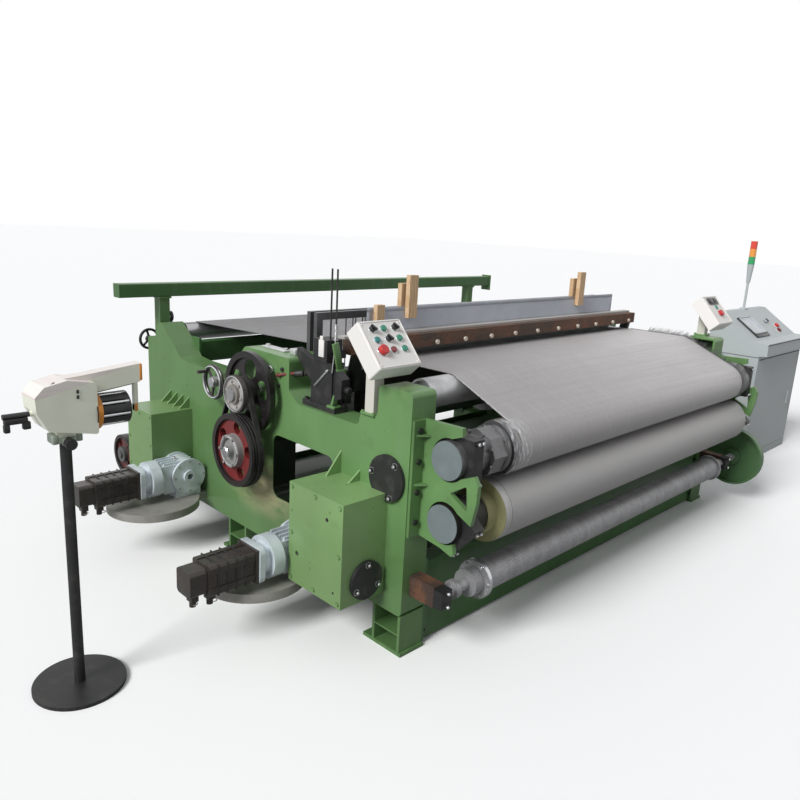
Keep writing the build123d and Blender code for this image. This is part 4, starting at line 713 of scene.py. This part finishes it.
def piece(name, slot, material=None, body=MACHINE):
    """Turn the shape into an object that rides a body, and start the next shape."""
    global shape
    bmesh.ops.remove_doubles(shape, verts=shape.verts, dist=0.00001)
    bmesh.ops.recalc_face_normals(shape, faces=shape.faces)
    for face in shape.faces:
        face.smooth = True
    mesh = bpy.data.meshes.new(name)
    shape.to_mesh(mesh)
    shape.free()
    shape = bmesh.new()
    mesh.set_sharp_from_angle(angle=math.radians(38))
    mesh.materials.append(material or paints[slot])
    made = bpy.data.objects.new(name, mesh)
    bpy.context.scene.collection.objects.link(made)
    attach(made, body)
    return made


def repeated(made, count, step):
    run = made.modifiers.new("row", "ARRAY")
    run.count = count
    run.use_relative_offset = False
    run.use_constant_offset = True
    run.constant_offset_displace = (step / 1000, 0, 0)


# Woven cloth: drawn from the fell over the tube and the breast roll, through the nip
def cloth_turns():
    tube, breast, middle = (Vector(roll[:2]) for roll in (TUBE, BREAST, MIDDLE))
    rt, rb, rm = TUBE[2] + CLOTH_LIFT, BREAST[2] + CLOTH_LIFT, MIDDLE[2] + CLOTH_LIFT
    gap = Vector(FELL) + Vector((0, CLOTH_LIFT)) - tube
    start = math.pi / 2 + math.atan2(gap.y, gap.x) - math.asin(rt / gap.length)
    gap = tube - breast
    turn = math.atan2(gap.y, gap.x) + math.acos((rb - rt) / gap.length)
    gap = middle - breast
    nip = math.atan2(gap.y, gap.x) - math.acos((BREAST[2] + MIDDLE[2] + 2 * CLOTH_LIFT) / gap.length)
    return start, turn, nip, rt, rb, rm


def woven_cloth():
    start, turn, nip, rt, rb, rm = cloth_turns()
    fell = (FELL[0], FELL[1] + CLOTH_LIFT)
    run = shape.verts.layers.float.new("run")
    first = [shape.verts.new(at(x, *fell)) for x in WEB_X]
    shape.edges.new(first)
    bmesh.ops.subdivide_edges(shape, edges=shape.edges[:], cuts=140)
    state = {"edges": shape.edges[:], "run": 0.0}
    rows = [fell]

    def draw(move, length):
        made = bmesh.ops.extrude_edge_only(shape, edges=state["edges"])["geom"]
        verts = [g for g in made if isinstance(g, bmesh.types.BMVert)]
        move(verts)
        edges = [g for g in made if isinstance(g, bmesh.types.BMEdge)]
        state["edges"] = [e for e in edges if e.verts[0] in verts and e.verts[1] in verts]
        state["run"] += length
        for v in verts:
            v[run] = state["run"]
        here = verts[0].co
        rows.append(((here.y - DATUM_Y) * 1000, here.z * 1000))

    def straight(y, z, count):
        there = at(0, y, z) - at(0, *rows[-1])
        for _ in range(count):
            draw(lambda verts: bmesh.ops.translate(shape, vec=there / count, verts=verts), there.length / count)

    def round_axis(axle, radius, angle, count):
        for _ in range(count):
            spin = Matrix.Rotation(angle / count, 3, "X")
            draw(
                lambda verts: bmesh.ops.rotate(shape, cent=at(0, *axle), matrix=spin, verts=verts),
                abs(angle) * radius / 1000 / count,
            )

    def on(axle, radius, angle):
        return axle[0] + radius * math.cos(angle), axle[1] + radius * math.sin(angle)

    straight(*on(TUBE, rt, start), 12)
    round_axis(TUBE[:2], rt, turn - start, 4)
    straight(*on(BREAST, rb, turn), 9)
    round_axis(BREAST[:2], rb, 2 * math.pi + nip - turn, 30)
    straight(MIDDLE[0] - rm * math.cos(nip), MIDDLE[1] - rm * math.sin(nip), 3)
    round_axis(MIDDLE[:2], rm, -(math.pi + nip), 14)
    shape.normal_update()
    for v in shape.verts:
        x, far = v.co.x, v[run]
        loose = min(max((far - 0.02) / 0.1, 0.0), 1.0) * min(max((0.62 - far) / 0.12, 0.0), 1.0)
        wave = noise.noise(Vector((x * 1.1, far * 5.0, 0.3)))
        wave += 0.5 * noise.noise(Vector((x * 3.1, far * 9.0, 4.0)))
        v.co += v.normal * wave * 0.0011 * loose
    lie = shape.loops.layers.uv.new("weave")
    for face in shape.faces:
        for corner in face.loops:
            corner[lie].uv = (corner.vert.co.x - at(WEB_X[0], 0, 0).x, corner.vert[run])
    made = piece("woven_cloth", "steel_mesh", cloth_paint("cloth_weave", (0.50, 0.485, 0.49)))
    skin = made.modifiers.new("wire", "SOLIDIFY")
    skin.thickness = CLOTH_THICK
    skin.offset = 0
    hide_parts("mesh_web")
    hair = fringe(rows, cast_grey("waste_wire", (0.085, 0.085, 0.085), 0.6, 0.2))


def fringe(rows, material):
    """Cut weft ends that stand out past both edges of the cloth."""
    chance = random.Random(11)
    for edge, side in ((WEB_X[0], -1), (WEB_X[1], 1)):
        for (y0, z0), (y1, z1) in zip(rows[:FREE_ROWS], rows[1:]):
            many = max(int(math.hypot(y1 - y0, z1 - z0) / (2.2 if side > 0 else 4.5)), 2)
            for i in range(many):
                share = (i + chance.random()) / many
                y, z = y0 + (y1 - y0) * share, z0 + (z1 - z0) * share
                curled = side > 0 and y < 390
                reach = chance.uniform(6, 42) if curled else chance.uniform(3, 12)
                rise = chance.uniform(0, 34) * curled + chance.uniform(-1, 3)
                tip = (edge + side * reach, y + chance.uniform(-12, 8) * curled - 2, z + rise)
                rod((edge - side * 4, y, z), tip, 1.3 if side > 0 else 0.9, 0.6, 3)
    return piece("cloth_fringe", "steel_mesh", material)


def edge_film():
    """Stretch film round the cloth's left end on the breast roll."""
    centre = at(0, *BREAST[:2])
    verts = [shape.verts.new(at(x, *BREAST[:2]) + Vector((0, 0, FILM_RADIUS))) for x in (312, 430)]
    shape.edges.new(verts)
    bmesh.ops.subdivide_edges(shape, edges=shape.edges[:], cuts=14)
    bmesh.ops.spin(
        shape, geom=shape.verts[:] + shape.edges[:], cent=centre, axis=RIGHT, dvec=(0, 0, 0),
        angle=math.radians(158), steps=56,
    )
    shape.normal_update()
    for v in shape.verts:
        out = (v.co - Vector((v.co.x, centre.y, centre.z))).normalized()
        v.co += out * (0.0016 + 0.0020 * noise.noise(v.co * 30.0))
    piece("edge_film", "steel_mesh", clear_film("stretch_film"))


# Reed dents and warp ends
def dent_paint(name):
    """Flat reed wire: bright above the cloth line, darker below it with a painted shadow of the cap bar."""
    p = Paint(name, 0.4, metal=0.2)
    z = p.axes()[2]
    patch = p.noise(5.0, 3.0)
    tone = p.mix(p.band(patch, 0.35, 0.7) * 0.4, (0.66, 0.69, 0.76), (0.44, 0.46, 0.51))
    # Painted shadow: the reed below the cloth line darkened where the cap bar shades it
    tone = p.mix(p.band(z, 1.215, 1.195), tone, (0.24, 0.26, 0.25))
    return p.finish(tone, patch * 0.2 + 0.3, p.bump(p.noise(9.0, 2.0, p.stretched(60, 1, 1)), 0.1, 0.0005))


def reed_dents():
    """Reed as it is made: a channel top and bottom, end bars, and wires on edge between them."""
    for low, high in ((1050, 1070), (1300, 1318)):
        bar(340, 2525, 634, 646, low, high, 1.5)
    for x in (340, 2505):
        bar(x, x + 20, 634, 646, 1069, 1301, 1.0)
    for x in range(374, 2500, 53):
        rod((x, 634.5, 1312), (x, 633.4, 1312), 2.4, sides=8)
    skin = turned_steel("reed_rail_steel", (0.34, 0.36, 0.40), 0.35)
    rails = piece("reed_rails", "reed_steel", skin, "sley_body")
    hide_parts("reed")
    bar(361.5, 363.5, 635.5, 644.5, 1069, 1301)
    made = piece("reed_dents", "reed_steel", dent_paint("dent_steel"), "sley_body")
    repeated(made, DENTS, DENT_PITCH)


def warp_ends():
    rod((376, 932, 1092), (376, 519, 1099), 0.8, sides=4)
    made = piece("warp_ends", "steel_mesh", paints["bright_steel"])
    repeated(made, WARP_ENDS, WARP_PITCH)


# Rolls
def roll_dress():
    turned((283, *MIDDLE[:2]), LEFT, [(75.5, 0), (75.5, 6), (112, 6), (119, 4), (129, 3), (129, 0)], steps=64)
    turned((277, *MIDDLE[:2]), LEFT, [(75.5, 0), (75.5, 40), (84, 40), (90, 0)], steps=48)
    olive = enamel("olive_disc", (0.27, 0.26, 0.125), 0.5, 0.8)
    piece("middle_end_disc", "frame_green", olive, "middle_roll_body")
    turned((321, *MIDDLE[:2]), LEFT, [(126, 0), (126, 38), (129, 38), (129.8, 36), (129.8, 0)], steps=96)
    round_roll = roll_along(*MIDDLE[:2], 0.130)
    skin = mesh_paint("middle_end_weave", round_roll, (0.60, 0.59, 0.585), (0.30, 0.295, 0.29))
    piece("middle_end_wrap", "steel_mesh", skin, "middle_roll_body")
    for x, r in ((281, 84), (300, 99)):
        washer((x, *BREAST[:2]), RIGHT, 76, r, 0, 10, steps=48)
    for y, z in circle(10, 90, *BREAST[:2]):
        rod((300, y, z), (288, y, z), 7, sides=6)
    piece("breast_collar", "bright_steel", paints["oiled"], "breast_roll_body")
    washer((287, *LOWER), RIGHT, 80.5, 84, -2, 16, steps=56)
    for y, z in circle(6, 72, *LOWER):
        rod((287, y, z), (279, y, z), 6, sides=6)
    piece("lower_roll_ring", "chrome", body="lower_roll_body")


def shaft_dress():
    turned((-143, *MAIN), LEFT, [(0.01, 0), (20, 0), (20, 4), (16, 8), (0.01, 8)], steps=32)
    ring((-138, *MAIN), RIGHT, 80, 2.4)
    piece("clutch_trim", "chrome", body="main_shaft_body")
    turned((-172, *RED), LEFT, [(0.01, 0), (24, 0), (24, 6), (18, 12), (0.01, 12)], steps=32)
    ring((-160, *RED), RIGHT, 66, 2.6)
    piece("red_hub_trim", "gear_grey", paints["chrome"], "red_pulley_body")
    for x in (-137, -121, -105, -93):
        turned((x, *RED), RIGHT, [(172.05, -2.4), (174.4, -1.4), (174.4, 1.4), (172.05, 2.4)], steps=72)
    piece("red_wheel_grooves", "black_steel", body="red_pulley_body")
    ring((-67, *HAND), LEFT, 78, 4.5)
    turned((-68, *HAND), LEFT, [(0.01, 0), (26, 0), (24, 5), (0.01, 7)], steps=32)
    piece("handwheel_trim", "chrome", body="handwheel_body")


# Pendants: raised rim, bezels, selector bars, the right one's switches and the feet of the posts
PENDANTS = {"left": face_at(25, 160, 1256, 48.6), "right": face_at(2840, 60, 1268, 48.6)}
PLACES = [(x, y) for y in (66, 18, -30) for x in (-58, 0, 58)]


def pendant_dress():
    for side, base in PENDANTS.items():
        for x in (-107, 103):
            bar(x, x + 4, -100, 100, -0.5, 2.5, 0.8, base)
        for y in (-101, 97):
            bar(-107, 107, y, y + 4, -0.5, 2.5, 0.8, base)
        for x, y in product((-96, 96), (-90, 90)):
            turned((x, y, 0), UP, [(0.01, 0), (5, 0), (5, 1.6), (3.5, 2.6), (0.01, 2.6)], base, 16)
        piece(f"pendant_rim_{side}", "pendant_white")
        stop, places = (PLACES[6], PLACES) if side == "left" else (PLACES[7], [PLACES[4], PLACES[7]])
        for x, y in places:
            r = 20.6 if (x, y) == stop else 13.4
            turned((x, y, 0), UP, [(r, -0.5), (r + 3, -0.5), (r + 3, 2.2), (r + 2, 3.2), (r, 3.2)], base, 36)
        piece(f"pendant_bezels_{side}", "chrome")
    for name, index in (("a", 0), ("b", 2), ("c", 4)):
        x, y = PLACES[index]
        turn = Matrix.Rotation(math.radians(40), 4, "Z")
        base = PENDANTS["left"] @ Matrix.Translation((x / 1000, y / 1000, 0)) @ turn
        bar(-5, 5, -15, 15, 13.5, 22, 2.0, base)
        piece(f"selector_bar_{name}", "button_black", body=f"button_{name}_body")
    bar(-64, 64, 42, 88, -0.5, 9, 2.5, PENDANTS["right"])
    for x in (-32, 32):
        bar(x - 22, x + 22, 50, 80, 8, 13, 2.0, PENDANTS["right"])
    piece("pendant_switches", "button_black")
    for side, x0, y0, floor in (("left", 25, 235, 962), ("right", 2840, 135, 1095)):
        bar(x0 - 38, x0 + 38, y0 - 38, y0 + 38, floor, floor + 8, 1.5)
        for x, y in product((x0 - 31, x0 + 31), (y0 - 31, y0 + 31)):
            rod((x, y, floor + 7), (x, y, floor + 14), 6, sides=6)
        piece(f"post_foot_{side}", "frame_green")


# Weft insertion unit
def insertion_dress():
    bar(14, 20.5, 546, 580, 1137, 1209, 1.2)
    bar(14, 18, 553, 572, 1207, 1226, 1.0)
    piece("guide_plate", "pendant_white")
    rod((24, 612, 1003), (24, 530, 1080), 6, 4, edge=1)
    rod((24, 534, 1076), (24, 524, 1086), 8, 5, edge=1)
    rod((24, 498, 1078), (40, 493, 1262), 2.5, sides=10)
    piece("guide_rods", "chrome", paints["bright_steel"])
    for z in range(14):
        ring((58, 520, 1210 + z * 5), (0.0, 0.12, 1.0), 8, 1.6, steps=16)
    piece("rod_spring", "bright_steel")
    bar(96, 148, 568, 668, 935, 1010, 5)
    bar(100, 140, 500, 560, 931, 968, 4)
    bar(90, 128, 640, 700, 1040, 1075, 4)
    rod((110, 540, 968), (110, 540, 1060), 15, edge=2)
    rod((110, 620, 1010), (118, 600, 1120), 11, 8, edge=2)
    rod((60, 447, 1010), (60, 420, 1010), 15, edge=2)
    for y in (600, 625, 650):
        rod((122, y, 1010), (122, y, 1024), 9, sides=6)
    piece("insertion_valves", "black_steel")
    lean = face_at(62, 492, 1086, -14, "Y")
    bar(-16, 16, -6, 6, -2, 122, 3, lean)
    bar(40, 92, 484, 501, 1066, 1092, 3)
    lean = face_at(34, 496, 931, 16, "Y")
    bar(-14, 14, -6, 6, -2, 96, 3, lean)
    bar(16, 60, 470, 520, 926, 938, 3)
    piece("dip_brackets", "frame_green")


def hump_dress():
    bar(66, 112, 896, 1076, 1097, 1103, 1.5)
    for y in (915, 1055):
        rod((89, y, 1102), (89, y, 1112), 11, sides=6)
    bar(62, 110, 806, 850, 1097, 1124, 3)
    piece("hump_pad", "gear_grey", paints["light"])
    ring((-12, 896, 1024), (1, 0.3, 0), 16, 5)
    rod((1, 896, 1006), (-12, 896, 1010), 7)
    piece("hump_eye", "bright_steel")
    rod((-10, 830, 1012), (24, 738, 1034), 7, sides=12)
    rod((-10, 838, 1010), (-10, 826, 1013), 10, edge=1.5)
    piece("weft_lever", "pulley_red", enamel("lever_red", (0.17, 0.03, 0.03), worn=1.0))
    for y, z, r in ((812, 1040, 10), (836, 960, 9), (1100, 1050, 9), (1140, 1000, 8)):
        rod((1, y, z), (-9, y, z), r, sides=6, edge=0.8)
    rod((18, 745, 1030), (40, 712, 1036), 15, edge=2)
    rod((40, 712, 1036), (70, 700, 1036), 11, edge=2)
    piece("frame_fittings", "black_steel")


# Take-up box: black discs as painted shade for the oval and round holes of its cover, a collar and the washers
# under its screws
def box_dress():
    cover = face_at(-228, 0, 0)
    oval = cover @ Matrix.Translation((0, 0.198, 0.588)) @ Matrix.Diagonal((1.0, 1.7, 1.0, 1.0))
    # Black discs on the cover: painted shade standing for its holes
    washer((0, 0, 0), LEFT, 0.01, 8, 0, 0.8, oval, 28)
    for place, r in (((382, 381), 8), ((150, 300), 5)):
        washer((0, *place), LEFT, 0.01, r, 0, 1, cover, 24)
    piece("cover_hole_shade", "black_steel")
    washer((0, 382, 381), LEFT, 8, 11, 0, 1.6, cover, 24)
    for y, z in product((123, 271.5, 420), (263, 460, 657)):
        if (y, z) != (271.5, 460):
            washer((0, y, z), LEFT, 7.6, 11, 0, 0.9, cover, 20)
    piece("cover_washers", "frame_green")


def cap_bolts():
    """Bright heads and washers over the black flange caps."""
    for y, z in circle(3, 80, 109, 735, 0.15):
        if y < 91 or z > 689:
            rod((-25.8, y, z), (-30, y, z), 7.5, 5)
            washer((-16, y, z), LEFT, 11.6, 14, 0, 2, steps=20)
    for x, z in circle(3, 65, -105, 338, math.pi / 2):
        rod((x, 79.2, z), (x, 76, z), 7, 5)
        washer((x, 89, z), FRONT, 10.4, 13, 0, 2, steps=20)
    piece("cap_bolt_heads", "chrome")


def bearing_dress():
    """Bright bolts on the roll housings' caps and on the lower roll's blocks."""
    for (y, z, _), angle in ((BREAST, 0), (MIDDLE, 42)):
        for x0, sign in ((0, 1), (WIDTH * 1000, -1)):
            base = face_at(x0, y, z, angle)
            for x, h in product((101, 124), (-80, 80)):
                rod((sign * x, -109.8, h), (sign * x, -114, h), 7.5, 5, base=base)
    for x, z in product((70, 2795), (277, 333)):
        rod((x, -182.8, z), (x, -188, z), 8, 5.5)
    piece("housing_bolt_heads", "chrome")


def window_shade_plate():
    """Black sheet inside the right frame's window: painted shade standing for the dark inside of the machine."""
    bar(2716, 2762, 428, 892, 404, 742, 12)
    for y, z in product((446, 874), (420, 726)):
        rod((2718, y, z), (2711, y, z), 7, sides=6)
    piece("window_shade_plate", "black_steel")


# Motors and gearboxes
def drive_dress():
    for name, mid, z in (("takeup", 513, 338), ("letoff", 1553, 363)):
        for side, up in product((-1, 1), (-1, 1)):
            y, h = mid + side * 54, z + up * 54
            rod((-362, y, h), (-396, y, h), 7, sides=6)
        for x in (-430, -470, -510, -550):
            bar(x, x + 6, mid - 66.5, mid + 66.5, z - 66.5, z + 66.5, 3)
        piece(f"{name}_motor_ribs", "motor_black", paints["black_steel"])
        for x, drop in ((-533, 115), (-618, 102)):
            ring((x, mid, z - drop), UP, 13.6, 2, 20)
        turned((-105, mid - 75, z), FRONT, [(16.2, 0), (30, 0), (30, 3), (26, 5), (16.2, 5)], steps=36)
        for x, h in circle(8, 80, -105, z):
            rod((x, mid - 75, h), (x, mid - 81, h), 6, sides=6)
            rod((x, mid + 75, h), (x, mid + 81, h), 6, sides=6)
        rod((-150, mid, z + 81), (-150, mid, z + 94), 9, 7, edge=1)
        piece(f"{name}_gear_trim", "gear_grey", paints["bright_steel"])


# Console
CONSOLE = face_at(3850, 159, 967, math.degrees(math.atan2(193, 271)))


def console_dress():
    for x in (178, 408):
        bar(x, x + 14, 55, 245, -1, 17, 2, CONSOLE)
    for y in (55, 233):
        bar(178, 422, y, y + 12, -1, 17, 2, CONSOLE)
    piece("screen_bezel", "cabinet_white")
    bar(168, 430, 26, 55, -1, 11, 2, CONSOLE)
    bar(164, 178, 30, 246, -1, 13, 2, CONSOLE)
    washer((640, 170, 0), UP, 15, 19, -0.5, 3, CONSOLE, 28)
    bar(634, 646, 152, 188, 17, 26, 2, CONSOLE)
    bar(-6, 968, 8, 12, -15, -9, 0, face_at(3850, 25.2, 967))
    piece("console_black_trim", "button_black")
    dome = [(0.01, -0.5), (9, -0.5), (9, 6), (20, 8), (20, 15), (14, 20), (0.01, 21)]
    turned((705, 60, 0), UP, dome, CONSOLE, 28)
    piece("console_reset", "button_red", moulded("reset_red", (0.16, 0.012, 0.014)))
    for x, y in ((760, 110), (705, 60)):
        washer((x, y, 0), UP, 21, 27, -0.5, 2.5, CONSOLE, 32)
    piece("console_bezels", "pendant_white")


# Weft feeder
def feeder_dress():
    bar(-756, -745, 611, 669, 1114, 1176, 5)
    bar(-770, -758, 628, 652, 1000, 1030, 4)
    piece("feeder_caps", "feeder_orange")
    for y, z in circle(8, 54, *DRUM, 0.2):
        rod((-900, y, z), (-806, y, z), 5, sides=12, edge=1)
    turned((-800, *DRUM), RIGHT, [(0.01, 0), (46, 0), (46, 3), (40, 6), (0.01, 6)], steps=32)
    piece("drum_slats", "chrome")
    rod((-898, 640, 1091), (-768, 640, 1107), 8, sides=12, edge=1)
    bar(-1194, -1124, 628, 652, 1014, 1034, 4)
    bar(-1196, -1178, 630, 650, 988, 1016, 4)
    bar(-1140, -1116, 630, 650, 992, 1018, 4)
    rod((-1072, 590, 1132), (-1112, 586, 1066), 4, sides=10)
    rod((-1048, 600, 1142), (-1072, 590, 1132), 4, sides=10)
    for z in (1092, 1110):
        bar(-988, -980, 577, 581, z - 6, z + 6, 1)
    washer((-921, *DRUM), RIGHT, 64.8, 66.5, -3, 0.5, steps=40)
    piece("feeder_black_trim", "black_steel")
    bar(-1060, -1040, 612, 668, 930, 962, 4)
    bar(-982, -962, 612, 668, 930, 962, 4)
    rod((-1011, 606, 940), (-1011, 586, 940), 9, edge=1.5)
    bar(-1030, -990, 606, 616, 925, 950, 3)
    piece("feeder_clamp", "feeder_grey", cast_grey("clamp_casting", (0.32, 0.37, 0.31), 0.5, 0.3))


def frame_dress():
    """Nuts and studs at the feet, and the bolts of the front beam's end plates."""
    for x, y in product((65, 2800), (186, 1292, 2136)):
        washer((x, y, 16), UP, 9.5, 19, 0, 3, steps=24)
        rod((x, y, 19), (x, y, 33), 14, sides=6, edge=1)
        rod((x, y, 33), (x, y, 48), 8, sides=14, edge=1)
    piece("anchor_nuts", "bright_steel")
    for (x, step), y, z in product(((145, 1), (2720, -1)), (8, 112), (60, 180, 300)):
        rod((x - step, y, z), (x + 9 * step, y, z), 9, sides=6)
    piece("beam_plate_bolts", "black_steel")


# Floor and light: the world's strength off camera, and the floor's tone for all but camera rays
FILL = 0.36


def light_studio():
    mesh = bpy.data.meshes.new("floor")
    shape = bmesh.new()
    bmesh.ops.create_grid(shape, x_segments=1, y_segments=1, size=60.0)
    shape.to_mesh(mesh)
    shape.free()
    floor = bpy.data.objects.new("floor", mesh)
    bpy.context.scene.collection.objects.link(floor)
    p = Paint("floor", 0.9)
    seen = p.node("ShaderNodeLightPath", {}, (), "Is Camera Ray")
    mesh.materials.append(p.finish(p.mix(seen, (FILL, FILL, FILL), (1.0, 1.0, 1.0))))
    world = bpy.data.worlds.new("studio")
    bpy.context.scene.world = world
    world.use_nodes = True
    nodes, links = world.node_tree.nodes, world.node_tree.links
    nodes.clear()
    path = nodes.new("ShaderNodeLightPath")
    choose = nodes.new("ShaderNodeMixShader")
    for place, colour, strength in ((1, (0.95, 0.97, 1.0, 1.0), FILL), (2, (1.0, 1.0, 1.0, 1.0), 1.0)):
        made = nodes.new("ShaderNodeBackground")
        made.inputs["Color"].default_value = colour
        made.inputs["Strength"].default_value = strength
        links.new(made.outputs[0], choose.inputs[place])
    reach = path.outputs["Is Camera Ray"]
    for name in ("Is Glossy Ray", "Is Transmission Ray"):
        more = nodes.new("ShaderNodeMath")
        more.operation = "MAXIMUM"
        links.new(reach, more.inputs[0])
        links.new(path.outputs[name], more.inputs[1])
        reach = more.outputs[0]
    links.new(reach, choose.inputs[0])
    out = nodes.new("ShaderNodeOutputWorld")
    links.new(choose.outputs[0], out.inputs["Surface"])
    sun = bpy.data.lights.new("window_light", "SUN")
    sun.energy = 3.1
    sun.angle = math.radians(24)
    lamp = bpy.data.objects.new("window_light", sun)
    lamp.rotation_euler = Vector((-0.80, -0.06, 0.60)).to_track_quat("Z", "Y").to_euler()
    bpy.context.scene.collection.objects.link(lamp)


aim_camera()
bpy.context.scene.view_settings.view_transform = "Standard"
paints = dress_nodes()
for dress in (
    woven_cloth, edge_film, reed_dents, warp_ends, roll_dress, shaft_dress, pendant_dress, insertion_dress,
    hump_dress, box_dress, cap_bolts, bearing_dress, window_shade_plate, drive_dress, console_dress, feeder_dress,
    frame_dress,
):
    dress()
light_studio()
